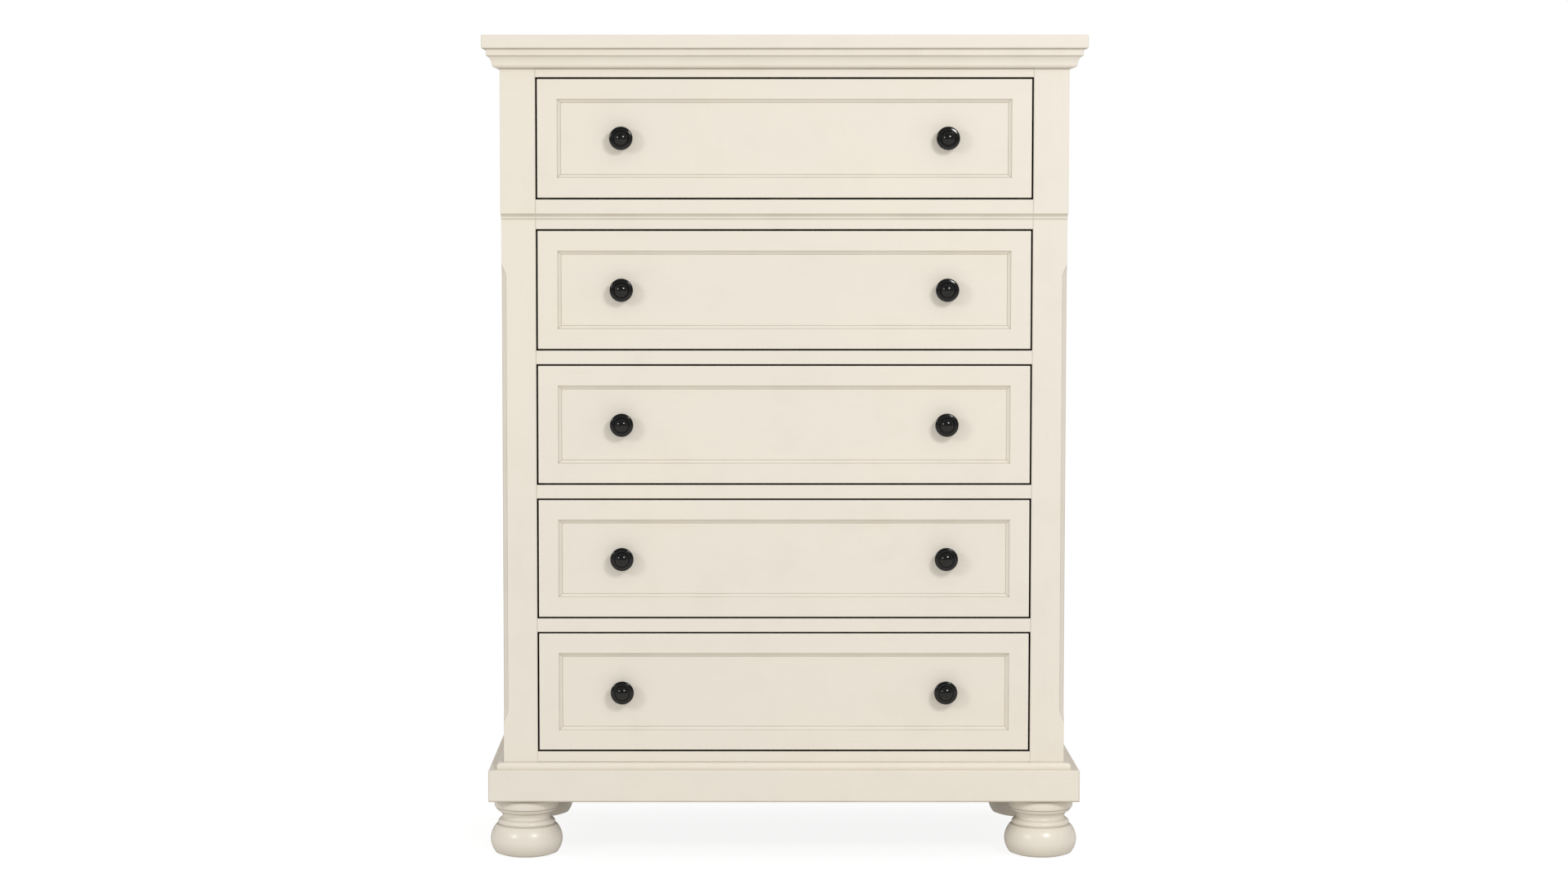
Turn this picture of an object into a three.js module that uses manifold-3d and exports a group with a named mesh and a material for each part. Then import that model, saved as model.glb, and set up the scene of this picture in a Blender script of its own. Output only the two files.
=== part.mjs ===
// Tall five-drawer chest: a painted wooden case on a moulded plinth and turned bun feet.
//
// Millimetres, +Z up, the front faces -Y, and +X is the viewer's right.
// The origin is on the floor under the middle of the chest's bounding box.
// Drawers are numbered from the top, and each one slides out along -Y.

import * as THREE from 'three';
import { mergeVertices } from 'three/addons/utils/BufferGeometryUtils.js';
import Module from 'manifold-3d';

// ---------------------------------------------------------------- driving sizes

// Heights, from the floor up.
const FOOT_HEIGHT = 98;
const PLINTH_HEIGHT = 53;
const CAP_HEIGHT = 10.5;
const BOTTOM_BOARD = 18;
const OPENING_HEIGHT = 201.5;
const RAIL_HEIGHT = 22.5;
const WAIST_RAIL_HEIGHT = 49;
const TOP_RAIL_HEIGHT = 14.5;
const CORNICE_HEIGHT = 31;
const TOP_THICKNESS = 23;

// Widths and depths.
const TOP_WIDTH = 998;
const DEPTH = 482;
const BODY_WIDTH = 938;
const OPENING_WIDTH = 824;
const TOP_OVERHANG = 30.5;
const POST_DEPTH = 40;
const RAIL_DEPTH = 60;
const SIDE_THICKNESS = 18;
const BACK_THICKNESS = 6;
const BACK_RABBET = 9;

// The upper part of the case stands a little proud of the lower part.
const FRONT_PROUD = 3;
const SIDE_PROUD = 1.5;
const WAIST_MOULDING_DROP = 23.3;
const WAIST_MOULDING_HEIGHT = 8.6;
const WAIST_FLAT_HEIGHT = 4.3;
const WAIST_FLAT_SHARE = 0.27;

// Mouldings: how far each one stands out from the face behind it.
const CORNICE_BEAD_START = 2;
const CORNICE_BEAD_OUT = 12;
const CORNICE_BEAD_HEIGHT = 5.5;
const CORNICE_COVE_REACH = 16.9;
const CORNICE_COVE_RISE = 17.3;
const CORNICE_COVE_END = 126;
const CORNICE_COVE_TOP = 20;
const CORNICE_FILLET_OUT = 21;
const TOP_UNDERCUT = 4;
const TOP_UNDERCUT_HEIGHT = 3;
const PLINTH_OUT = 24.5;
const PLINTH_BOARD = 30;
const PLINTH_EASE = 2;
const CAP_OUT = 12;
const CAP_LEDGE = 6;

// Stopped chamfers on the outer front corners of the posts.
const CHAMFER_WIDTH = 8;
const CHAMFER_BOTTOM = 222;
const CHAMFER_TOP = 1002;
const CHAMFER_TAPER = 26;

// Recessed panels in the sides.
const SIDE_STILE = 57;
const SIDE_RAIL = 70;
const SIDE_RECESS = 5;
const SIDE_BEVEL = 6.5;

// Drawers.
const DRAWER_COUNT = 5;
const FRONT_GAP = 3;
const FRONT_THICKNESS = 20;
const FRAME_WIDTH = 32.5;
const FRONT_BEVEL = 6.5;
const FRONT_RECESS = 5.5;
const BOX_INSET = 7;
const BOX_DEPTH = 375;
const BOX_WALL = 12.5;
const BOX_HEIGHT = 169;
const BOX_BACK_TOP = 160;
const RUN_GAP = 1;
const BOTTOM_LIFT = 13;
const BOTTOM_PLY = 5;
const PANEL_FIT = 0.5;

// Centre guides under the drawers.
const GUIDE_WIDTH = 44;
const GUIDE_TOP = 11;
const GUIDE_DROP = 11;
const GUIDE_TONGUE = 30;

// Knobs and feet.
const KNOB_SPACING = 540;
const KNOB_RADIUS = 19.5;
const KNOB_LENGTH = 29;
const KNOB_SIDES = 20;
const KNOB_DOME = 7;
const KNOB_BASE_RADIUS = 12;
const FOOT_RADIUS = 60.5;
const FOOT_INSET = 60;
const REAR_FOOT_INSET = 62;
const FOOT_SPIGOT_RADIUS = 25;
const BUN_MIDDLE = 27;
const BUN_CURVE = 45;
const BUN_CONTACT = 38;
const BUN_TURN = 30;
const BUN_STEPS = 6;
const FOOT_SIDES = 24;
const SEAT_GAP = 0.3;

// How far a cutting or joining solid reaches past the piece it shapes.
const CLEAR = 20;
const SMALL_CLEAR = 1;

// ---------------------------------------------------------------- worked-out places

const HALF_TOP = TOP_WIDTH / 2;
const HALF_BODY = BODY_WIDTH / 2;
const HALF_OPENING = OPENING_WIDTH / 2;
const BACK = DEPTH / 2;
const TOP_FRONT = -DEPTH / 2;
const BODY_FRONT = TOP_FRONT + TOP_OVERHANG;
const UPPER_FRONT = BODY_FRONT - FRONT_PROUD;
const BACK_FACE = BACK - BACK_THICKNESS;
const POST_BACK = BODY_FRONT + POST_DEPTH;
const PLINTH_HALF = HALF_BODY + PLINTH_OUT;
const PLINTH_FRONT = BODY_FRONT - PLINTH_OUT;

const CASE_BOTTOM = FOOT_HEIGHT + PLINTH_HEIGHT + CAP_HEIGHT;
const LOWER_PITCH = OPENING_HEIGHT + RAIL_HEIGHT;
const LOWEST_OPENING = CASE_BOTTOM + BOTTOM_BOARD;
const WAIST_BOTTOM = LOWEST_OPENING + 3 * LOWER_PITCH + OPENING_HEIGHT;
const WAIST_TOP = WAIST_BOTTOM + WAIST_RAIL_HEIGHT;
const TOP_RAIL_BOTTOM = WAIST_TOP + OPENING_HEIGHT;
const CASE_TOP = TOP_RAIL_BOTTOM + TOP_RAIL_HEIGHT;
const TOP_BOTTOM = CASE_TOP + CORNICE_HEIGHT;
const TOTAL_HEIGHT = TOP_BOTTOM + TOP_THICKNESS;
const MOULDING_TOP = WAIST_TOP - WAIST_MOULDING_DROP;
const MOULDING_BOTTOM = MOULDING_TOP - WAIST_MOULDING_HEIGHT;

// ---------------------------------------------------------------- materials

const PAINT = { color: 0xe9e2d3, roughness: 0.45, metalness: 0 };
const BLACK = { color: 0x1b1a19, roughness: 0.35, metalness: 0.1 };
const RAW_WOOD = { color: 0xc9a877, roughness: 0.6, metalness: 0 };
const PLYWOOD = { color: 0xb99a6b, roughness: 0.7, metalness: 0 };

// ---------------------------------------------------------------- shape helpers

const wasm = await Module();
wasm.setup();

const chest = new THREE.Group();

// Turns a closed geometry into a solid that can be joined and cut.
function solidOf(geometry) {
  const bare = geometry.clone();
  bare.deleteAttribute('normal');
  bare.deleteAttribute('uv');
  const merged = mergeVertices(bare);
  const vertProperties = new Float32Array(merged.attributes.position.array);
  const triVerts = new Uint32Array(merged.index.array);
  return new wasm.Manifold(new wasm.Mesh({ numProp: 3, vertProperties, triVerts }));
}

function geometryOf(solid) {
  const mesh = solid.getMesh();
  const geometry = new THREE.BufferGeometry();
  geometry.setAttribute('position', new THREE.BufferAttribute(mesh.vertProperties, 3));
  geometry.setIndex(new THREE.BufferAttribute(mesh.triVerts, 1));
  const flat = geometry.toNonIndexed();
  flat.computeVertexNormals();
  return flat;
}

function outline(points) {
  return new THREE.Shape(points.map(([u, v]) => new THREE.Vector2(u, v)));
}

function extruded(points, length) {
  return new THREE.ExtrudeGeometry(outline(points), { depth: length, bevelEnabled: false });
}

// A (y, z) outline run along X, from x0 to x1.
function runAlongX(points, x0, x1) {
  const geometry = extruded(points, x1 - x0);
  const turn = new THREE.Matrix4().makeBasis(
    new THREE.Vector3(0, 1, 0),
    new THREE.Vector3(0, 0, 1),
    new THREE.Vector3(1, 0, 0),
  );
  return geometry.applyMatrix4(turn).translate(x0, 0, 0);
}

// An (x, z) outline run along Y, from y0 to y1.
function runAlongY(points, y0, y1) {
  const geometry = extruded(points, y1 - y0);
  const turn = new THREE.Matrix4().makeBasis(
    new THREE.Vector3(1, 0, 0),
    new THREE.Vector3(0, 0, 1),
    new THREE.Vector3(0, -1, 0),
  );
  return geometry.applyMatrix4(turn).translate(0, y1, 0);
}

// An (x, y) outline run up Z, from z0 to z1.
function runAlongZ(points, z0, z1) {
  return extruded(points, z1 - z0).translate(0, 0, z0);
}

function block([x0, x1], [y0, y1], [z0, z1]) {
  const geometry = new THREE.BoxGeometry(x1 - x0, y1 - y0, z1 - z0);
  return geometry.translate((x0 + x1) / 2, (y0 + y1) / 2, (z0 + z1) / 2);
}

function addPiece(name, geometry, finish, parent = chest) {
  const mesh = new THREE.Mesh(geometry, new THREE.MeshStandardMaterial(finish));
  mesh.name = name;
  parent.add(mesh);
  return mesh;
}

// Points of an elliptical arc from one angle to another, in degrees.
function arc(cx, cy, rx, ry, from, to, steps) {
  const points = [];
  for (let i = 0; i <= steps; i += 1) {
    const angle = THREE.MathUtils.degToRad(from + ((to - from) * i) / steps);
    points.push([cx + rx * Math.cos(angle), cy + ry * Math.sin(angle)]);
  }
  return points;
}

// A profile gives [out, z] points from bottom to top, where out is measured from a face.
// frontProfile and sideProfile turn it into closed outlines that reach back into the case.
function frontProfile(profile, face, back) {
  const edge = profile.map(([out, z]) => [face - out, z]);
  const low = profile[0][1];
  const high = profile[profile.length - 1][1];
  return [[back, low], [back, high], ...edge.reverse()];
}

function sidesProfile(profile, half) {
  const right = profile.map(([out, z]) => [half + out, z]);
  const left = profile.map(([out, z]) => [-half - out, z]).reverse();
  return [...right, ...left];
}

// A slab with the same moulding mitred round its front and both sides.
function mouldedSlab(profile, face, half) {
  const reach = HALF_TOP + CLEAR;
  const front = solidOf(runAlongX(frontProfile(profile, face, BACK), -reach, reach));
  const sides = solidOf(runAlongY(sidesProfile(profile, half), TOP_FRONT - CLEAR, BACK));
  return front.intersect(sides);
}

// ---------------------------------------------------------------- top and cornice

function addTop() {
  const profile = [
    [-TOP_UNDERCUT, TOP_BOTTOM],
    [0, TOP_BOTTOM + TOP_UNDERCUT_HEIGHT],
    [0, TOTAL_HEIGHT],
  ];
  addPiece('top_panel', geometryOf(mouldedSlab(profile, TOP_FRONT, HALF_TOP)), PAINT);
}

function addCornice() {
  const coveMiddle = CORNICE_BEAD_OUT + CORNICE_COVE_REACH;
  const beadTop = CASE_TOP + CORNICE_BEAD_HEIGHT;
  const beadWidth = CORNICE_BEAD_OUT - CORNICE_BEAD_START;
  const bead = arc(CORNICE_BEAD_START, beadTop, beadWidth, CORNICE_BEAD_HEIGHT, -90, 0, 3);
  const cove = arc(
    coveMiddle, beadTop, CORNICE_COVE_REACH, CORNICE_COVE_RISE, 180, CORNICE_COVE_END, 4,
  );
  const profile = [
    [0, CASE_TOP],
    ...bead,
    ...cove.slice(1),
    [CORNICE_FILLET_OUT, CASE_TOP + CORNICE_COVE_TOP],
    [CORNICE_FILLET_OUT, TOP_BOTTOM],
  ];
  const slab = mouldedSlab(profile, UPPER_FRONT, HALF_BODY + SIDE_PROUD);
  addPiece('cornice_board', geometryOf(slab), PAINT);
}

// ---------------------------------------------------------------- posts, rails and sides

// The face of the case from bottom to top, with the small moulding at the waist.
function waistProfile(low, high, proud) {
  const flat = proud * WAIST_FLAT_SHARE;
  return [
    [0, low],
    [0, MOULDING_BOTTOM],
    [flat, MOULDING_BOTTOM],
    [flat, MOULDING_BOTTOM + WAIST_FLAT_HEIGHT],
    [proud, MOULDING_TOP],
    [proud, high],
  ];
}

// A wedge that cuts a stopped chamfer, tapering to nothing at both ends.
function chamferCutter(side) {
  const depth = CHAMFER_WIDTH / Math.SQRT2;
  const points = [
    [0, CHAMFER_BOTTOM],
    [CLEAR, CHAMFER_BOTTOM],
    [CLEAR, CHAMFER_TOP],
    [0, CHAMFER_TOP],
    [-depth, CHAMFER_TOP - CHAMFER_TAPER],
    [-depth, CHAMFER_BOTTOM + CHAMFER_TAPER],
  ];
  const wedge = runAlongY(points, -CLEAR, CLEAR);
  wedge.rotateZ(side > 0 ? -Math.PI / 4 : (-3 * Math.PI) / 4);
  return solidOf(wedge.translate(side * HALF_BODY, BODY_FRONT, 0));
}

function addPost(name, side) {
  const inner = side * HALF_OPENING;
  const outer = side * (HALF_BODY + SIDE_PROUD);
  const frontFace = frontProfile(
    waistProfile(CASE_BOTTOM, CASE_TOP, FRONT_PROUD), BODY_FRONT, POST_BACK,
  );
  const front = solidOf(runAlongX(frontFace, Math.min(inner, outer), Math.max(inner, outer)));
  const sideFace = sidesProfile(waistProfile(CASE_BOTTOM, CASE_TOP, SIDE_PROUD), HALF_BODY);
  const sides = solidOf(runAlongY(sideFace, UPPER_FRONT, POST_BACK));
  const post = front.intersect(sides).subtract(chamferCutter(side));
  addPiece(name, geometryOf(post), PAINT);
}

function addRails() {
  const span = [-HALF_OPENING, HALF_OPENING];
  const lowerDepth = [BODY_FRONT, BODY_FRONT + RAIL_DEPTH];
  const upperDepth = [UPPER_FRONT, BODY_FRONT + RAIL_DEPTH];
  addPiece('top_rail', block(span, upperDepth, [TOP_RAIL_BOTTOM, CASE_TOP]), PAINT);
  const waist = frontProfile(
    waistProfile(WAIST_BOTTOM, WAIST_TOP, FRONT_PROUD), BODY_FRONT, lowerDepth[1],
  );
  addPiece('waist_rail', runAlongX(waist, span[0], span[1]), PAINT);
  for (let upper = 2; upper < DRAWER_COUNT; upper += 1) {
    const bottom = openingBottom(upper) - RAIL_HEIGHT;
    const rail = block(span, lowerDepth, [bottom, bottom + RAIL_HEIGHT]);
    addPiece(`rail_${upper}_${upper + 1}`, rail, PAINT);
  }
}

// The case bottom is notched round the posts, so its front edge shows as the lowest rail.
function addBottomBoard() {
  const inside = HALF_BODY - SIDE_THICKNESS;
  const plan = [
    [-HALF_OPENING, BODY_FRONT],
    [HALF_OPENING, BODY_FRONT],
    [HALF_OPENING, POST_BACK],
    [inside, POST_BACK],
    [inside, BACK_FACE],
    [-inside, BACK_FACE],
    [-inside, POST_BACK],
    [-HALF_OPENING, POST_BACK],
  ];
  addPiece('bottom_board', runAlongZ(plan, CASE_BOTTOM, LOWEST_OPENING), PAINT);
}

// A shallow recess with sloping edges in an outer side face.
function sideRecess(side, face, low, high) {
  const front = POST_BACK + PANEL_FIT + SIDE_BEVEL;
  const rear = BACK - SIDE_STILE;
  const open = SIDE_BEVEL * (1 + SMALL_CLEAR / SIDE_RECESS);
  const floor = side * (face - SIDE_RECESS);
  const mouth = side * (face + SMALL_CLEAR);
  const plan = [
    [mouth, front],
    [mouth, rear],
    [floor, rear - open],
    [floor, front + open],
  ];
  const upright = [
    [mouth, low],
    [floor, low + open],
    [floor, high - open],
    [mouth, high],
  ];
  const across = THREE.ShapeUtils.isClockWise(plan.map(([x, y]) => new THREE.Vector2(x, y)));
  const planPoints = across ? [...plan].reverse() : plan;
  const lengthways = solidOf(runAlongZ(planPoints, low, high));
  const vertical = solidOf(runAlongY(upright, front, rear));
  return lengthways.intersect(vertical);
}

function addSide(name, side) {
  const inner = HALF_BODY - SIDE_THICKNESS;
  const rabbet = inner + BACK_RABBET;
  const outer = HALF_BODY + SIDE_PROUD;
  const plan = [
    [side * inner, POST_BACK],
    [side * outer, POST_BACK],
    [side * outer, BACK],
    [side * rabbet, BACK],
    [side * rabbet, BACK_FACE],
    [side * inner, BACK_FACE],
  ];
  const board = solidOf(runAlongZ(plan, CASE_BOTTOM, CASE_TOP));
  const face = sidesProfile(waistProfile(CASE_BOTTOM, CASE_TOP, SIDE_PROUD), HALF_BODY);
  const shaped = board.intersect(solidOf(runAlongY(face, POST_BACK, BACK)));
  const lower = sideRecess(side, HALF_BODY, CASE_BOTTOM + SIDE_RAIL, WAIST_BOTTOM - SIDE_STILE / 2);
  const upper = sideRecess(side, outer, WAIST_TOP + SIDE_STILE / 4, CASE_TOP - SIDE_STILE);
  addPiece(name, geometryOf(shaped.subtract(lower).subtract(upper)), PAINT);
}

function addBack() {
  const half = HALF_BODY - SIDE_THICKNESS + BACK_RABBET - PANEL_FIT;
  const panel = block([-half, half], [BACK_FACE, BACK], [FOOT_HEIGHT, CASE_TOP]);
  addPiece('back_panel', panel, PLYWOOD);
}

// ---------------------------------------------------------------- plinth and feet

function plinthProfile() {
  const ledge = CASE_BOTTOM - CAP_HEIGHT;
  const round = CAP_OUT - CAP_LEDGE;
  return [
    [PLINTH_OUT - PLINTH_EASE, FOOT_HEIGHT],
    [PLINTH_OUT, FOOT_HEIGHT + PLINTH_EASE],
    [PLINTH_OUT, ledge - PLINTH_EASE],
    [PLINTH_OUT - PLINTH_EASE, ledge],
    [CAP_OUT, ledge],
    ...arc(CAP_LEDGE, CASE_BOTTOM - round, round, round, 0, 90, 3),
  ];
}

// The three plinth boards meet in mitres at the front corners.
function addPlinth() {
  const ring = mouldedSlab(plinthProfile(), BODY_FRONT, HALF_BODY);
  const inner = PLINTH_HALF - PLINTH_BOARD;
  const innerFront = PLINTH_FRONT + PLINTH_BOARD;
  const low = FOOT_HEIGHT - CLEAR;
  const high = CASE_BOTTOM + CLEAR;
  const hollow = block([-inner, inner], [innerFront, BACK + CLEAR], [low, high]);
  const boards = ring.subtract(solidOf(hollow));
  const wedge = [
    [-PLINTH_HALF - CLEAR, PLINTH_FRONT - CLEAR],
    [PLINTH_HALF + CLEAR, PLINTH_FRONT - CLEAR],
    [inner, innerFront],
    [-inner, innerFront],
  ];
  const frontPart = solidOf(runAlongZ(wedge, low, high));
  addPiece('plinth_front', geometryOf(boards.intersect(frontPart)), PAINT);
  const sideParts = boards.subtract(frontPart);
  const reach = PLINTH_HALF + CLEAR;
  const depth = [PLINTH_FRONT - CLEAR, BACK + CLEAR];
  const leftPart = solidOf(block([-reach, 0], depth, [low, high]));
  addPiece('plinth_left', geometryOf(sideParts.intersect(leftPart)), PAINT);
  addPiece('plinth_right', geometryOf(sideParts.subtract(leftPart)), PAINT);
}

// The foot above its bun as [radius, height]: bead, neck, ring and flared collar.
const FOOT_NECK = [
  [47.9, 53],
  [48, 57],
  [40.7, 65],
  [42, 70],
  [45.9, 73.7],
  [50.4, 77.4],
  [51.8, 80.4],
  [53.8, 83],
  [54.4, 88],
  [52.5, FOOT_HEIGHT - SEAT_GAP],
];

// Bun foot: a flattened ball, a small bead, a neck and a flared collar under the plinth.
// The spigot above the collar runs up inside the plinth to the case bottom.
function footGeometry() {
  const bun = arc(0, BUN_MIDDLE, FOOT_RADIUS, BUN_CURVE, -BUN_TURN, BUN_TURN, BUN_STEPS);
  const profile = [
    [0, 0],
    [BUN_CONTACT, 0],
    ...bun,
    ...FOOT_NECK,
    [FOOT_SPIGOT_RADIUS, FOOT_HEIGHT - SEAT_GAP],
    [FOOT_SPIGOT_RADIUS, CASE_BOTTOM - SEAT_GAP],
    [0, CASE_BOTTOM - SEAT_GAP],
  ];
  const points = profile.map(([r, z]) => new THREE.Vector2(r, z));
  return new THREE.LatheGeometry(points, FOOT_SIDES);
}

function addFeet() {
  const x = PLINTH_HALF - FOOT_INSET;
  const front = PLINTH_FRONT + FOOT_INSET;
  const rear = BACK - REAR_FOOT_INSET;
  const places = [
    ['front_left_foot', -x, front],
    ['front_right_foot', x, front],
    ['rear_left_foot', -x, rear],
    ['rear_right_foot', x, rear],
  ];
  for (const [name, footX, footY] of places) {
    const foot = addPiece(name, footGeometry(), PAINT);
    foot.rotation.x = Math.PI / 2;
    foot.position.set(footX, footY, 0);
  }
}

// ---------------------------------------------------------------- drawers and guides

function openingBottom(number) {
  if (number === 1) {
    return WAIST_TOP;
  }
  return LOWEST_OPENING + (DRAWER_COUNT - number) * LOWER_PITCH;
}

function faceOf(number) {
  return number === 1 ? UPPER_FRONT : BODY_FRONT;
}

// The front is a frame round a recessed panel with sloping inner edges.
function drawerFront() {
  const half = HALF_OPENING - FRONT_GAP;
  const low = FRONT_GAP;
  const high = OPENING_HEIGHT - FRONT_GAP;
  const slab = solidOf(block([-half, half], [0, FRONT_THICKNESS], [low, high]));
  const open = FRONT_BEVEL * (1 + SMALL_CLEAR / FRONT_RECESS);
  const mouth = FRAME_WIDTH + FRONT_BEVEL - open;
  const upright = [
    [-SMALL_CLEAR, low + mouth],
    [FRONT_RECESS, low + mouth + open],
    [FRONT_RECESS, high - mouth - open],
    [-SMALL_CLEAR, high - mouth],
  ];
  const plan = [
    [-half + mouth, -SMALL_CLEAR],
    [half - mouth, -SMALL_CLEAR],
    [half - mouth - open, FRONT_RECESS],
    [-half + mouth + open, FRONT_RECESS],
  ];
  const vertical = solidOf(runAlongX(upright.reverse(), -half, half));
  const across = solidOf(runAlongZ(plan, low, high));
  return geometryOf(slab.subtract(vertical.intersect(across)));
}

// Mushroom knob on its axis, pointing out along -Y from the panel face at y = 0.
function knobGeometry() {
  const rim = KNOB_DOME - KNOB_LENGTH;
  const dome = arc(0, rim, 0.72 * KNOB_RADIUS, KNOB_DOME, -90, -10, 2);
  const profile = [
    [0, -KNOB_LENGTH],
    ...dome.slice(1),
    [0.95 * KNOB_RADIUS, rim + 1],
    [KNOB_RADIUS, rim + 4],
    [0.8 * KNOB_RADIUS, rim + 9],
    [8, -8],
    [KNOB_BASE_RADIUS, 0],
    [0, 0],
  ];
  const points = profile.map(([r, y]) => new THREE.Vector2(r, y));
  return new THREE.LatheGeometry(points, KNOB_SIDES);
}

function addDrawer(number) {
  const drawer = new THREE.Group();
  drawer.position.set(0, faceOf(number), openingBottom(number));
  chest.add(drawer);
  const name = (piece) => `drawer_${number}_${piece}`;
  const outer = HALF_OPENING - FRONT_GAP - BOX_INSET;
  const inner = outer - BOX_WALL;
  const front = FRONT_THICKNESS;
  const rear = FRONT_THICKNESS + BOX_DEPTH;
  const height = [RUN_GAP, RUN_GAP + BOX_HEIGHT];
  const floor = [BOTTOM_LIFT, BOTTOM_LIFT + BOTTOM_PLY];
  addPiece(name('front'), drawerFront(), PAINT, drawer);
  addPiece(name('left_side'), block([-outer, -inner], [front, rear], height), RAW_WOOD, drawer);
  addPiece(name('right_side'), block([inner, outer], [front, rear], height), RAW_WOOD, drawer);
  const backWall = block([-inner, inner], [rear - BOX_WALL, rear], [floor[1], BOX_BACK_TOP]);
  addPiece(name('back'), backWall, RAW_WOOD, drawer);
  addPiece(name('bottom'), block([-inner, inner], [front, rear], floor), PLYWOOD, drawer);
  for (const [label, side] of [['left_knob', -1], ['right_knob', 1]]) {
    const knob = addPiece(name(label), knobGeometry(), BLACK, drawer);
    const seat = FRONT_RECESS - SEAT_GAP;
    knob.position.set((side * KNOB_SPACING) / 2, seat, OPENING_HEIGHT / 2);
  }
}

// Each centre guide is notched over the rail in front and fixed to the back panel.
function addGuide(number) {
  const level = openingBottom(number);
  const railBack = BODY_FRONT + RAIL_DEPTH;
  const tongue = railBack - GUIDE_TONGUE;
  const drop = number === DRAWER_COUNT ? 0 : GUIDE_DROP;
  const profile = [
    [tongue, level],
    [railBack, level],
    [railBack, level - drop],
    [BACK_FACE, level - drop],
    [BACK_FACE, level + GUIDE_TOP],
    [tongue, level + GUIDE_TOP],
  ];
  const points = drop === 0 ? profile.filter((point, i) => i !== 1 && i !== 2) : profile;
  const guide = runAlongX(points, -GUIDE_WIDTH / 2, GUIDE_WIDTH / 2);
  addPiece(`drawer_${number}_guide`, guide, RAW_WOOD);
}

// ---------------------------------------------------------------- assembly

addTop();
addCornice();
addPost('left_front_post', -1);
addPost('right_front_post', 1);
addRails();
addBottomBoard();
addSide('left_side_panel', -1);
addSide('right_side_panel', 1);
addBack();
addPlinth();
addFeet();
for (let number = 1; number <= DRAWER_COUNT; number += 1) {
  addGuide(number);
  addDrawer(number);
}

export default chest;
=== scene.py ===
"""Tall painted chest of drawers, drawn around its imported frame.

Everything is in metres: +Z up, the drawer fronts face -Y, and +X is the viewer's right.
Each operator makes one kind of piece, and the stage operator makes the camera, lights and floor.
"""

import math

import bmesh
import bpy
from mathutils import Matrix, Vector


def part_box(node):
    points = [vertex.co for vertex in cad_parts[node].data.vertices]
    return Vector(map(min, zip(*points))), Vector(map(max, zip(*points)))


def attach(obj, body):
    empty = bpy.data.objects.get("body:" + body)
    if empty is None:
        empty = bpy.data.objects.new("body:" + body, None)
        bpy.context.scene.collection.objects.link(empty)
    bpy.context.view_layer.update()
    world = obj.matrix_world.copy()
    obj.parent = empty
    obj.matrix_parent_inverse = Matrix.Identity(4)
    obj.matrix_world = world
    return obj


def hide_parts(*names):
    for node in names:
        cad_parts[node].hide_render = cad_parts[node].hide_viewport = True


bl_info = {
    "name": "Painted Tall Chest",
    "version": (1, 0, 0),
    "blender": (4, 5, 0),
    "location": "3D View > Sidebar > Chest",
    "description": "Builds a tall painted chest of drawers around its frame",
    "category": "Object",
}

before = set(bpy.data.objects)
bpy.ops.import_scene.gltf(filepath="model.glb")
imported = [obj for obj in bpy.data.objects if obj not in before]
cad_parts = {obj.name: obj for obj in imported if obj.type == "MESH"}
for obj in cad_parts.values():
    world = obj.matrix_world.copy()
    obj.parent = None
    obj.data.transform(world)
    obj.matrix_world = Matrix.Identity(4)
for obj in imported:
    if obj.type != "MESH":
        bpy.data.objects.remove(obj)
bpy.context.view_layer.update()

MM = 0.001
DRAWERS = range(1, 6)
CARCASS = "carcass"


# ------------------------------------------------------------------ places read from the frame

def box_of(node):
    """The lowest and highest corners of a frame node, as a (low, high) pair."""
    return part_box(node)


TOP = box_of("top_panel")
CORNICE = box_of("cornice_board")
RIGHT_POST = box_of("right_front_post")
BOTTOM_BOARD = box_of("bottom_board")
WAIST_RAIL = box_of("waist_rail")
LOWEST_RAIL = box_of("rail_4_5")
SIDE = box_of("right_side_panel")
BACK = box_of("back_panel")
PLINTH = box_of("plinth_front")
PLINTH_SIDE = box_of("plinth_right")

BODY_FRONT = LOWEST_RAIL[0].y
UPPER_FRONT = WAIST_RAIL[0].y
FRONT_PROUD = BODY_FRONT - UPPER_FRONT
UPPER_HALF = RIGHT_POST[1].x
PLINTH_OUT = BODY_FRONT - PLINTH[0].y
BODY_HALF = PLINTH[1].x - PLINTH_OUT
SIDE_PROUD = UPPER_HALF - BODY_HALF
HALF_OPENING = LOWEST_RAIL[1].x
CASE_BOTTOM = BOTTOM_BOARD[0].z
CASE_TOP = CORNICE[0].z
POST_BACK = RIGHT_POST[1].y
BACK_EDGE = BACK[1].y


# ------------------------------------------------------------------ sizes and colours

def in_mm(rows, out=0.0, up=0.0):
    """Rows of (out, up, glaze and painted shade) given in millimetres, carried to metres from a
    starting point.
    """
    return [(out + a * MM, up + b * MM, glaze) for a, b, glaze in rows]


def length(name, description, default, **limits):
    """A size in metres, shown in scene units."""
    return bpy.props.FloatProperty(
        name=name, description=description, default=default, min=0.0,
        subtype="DISTANCE", unit="LENGTH", precision=4, **limits,
    )


def colour(name, description, default):
    """A linear colour."""
    return bpy.props.FloatVectorProperty(
        name=name, description=description, default=default,
        subtype="COLOR", size=3, min=0.0, max=1.0,
    )


def share(name, description, default):
    """A number from nothing to all."""
    return bpy.props.FloatProperty(
        name=name, description=description, default=default,
        subtype="FACTOR", min=0.0, max=1.0,
    )


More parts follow.
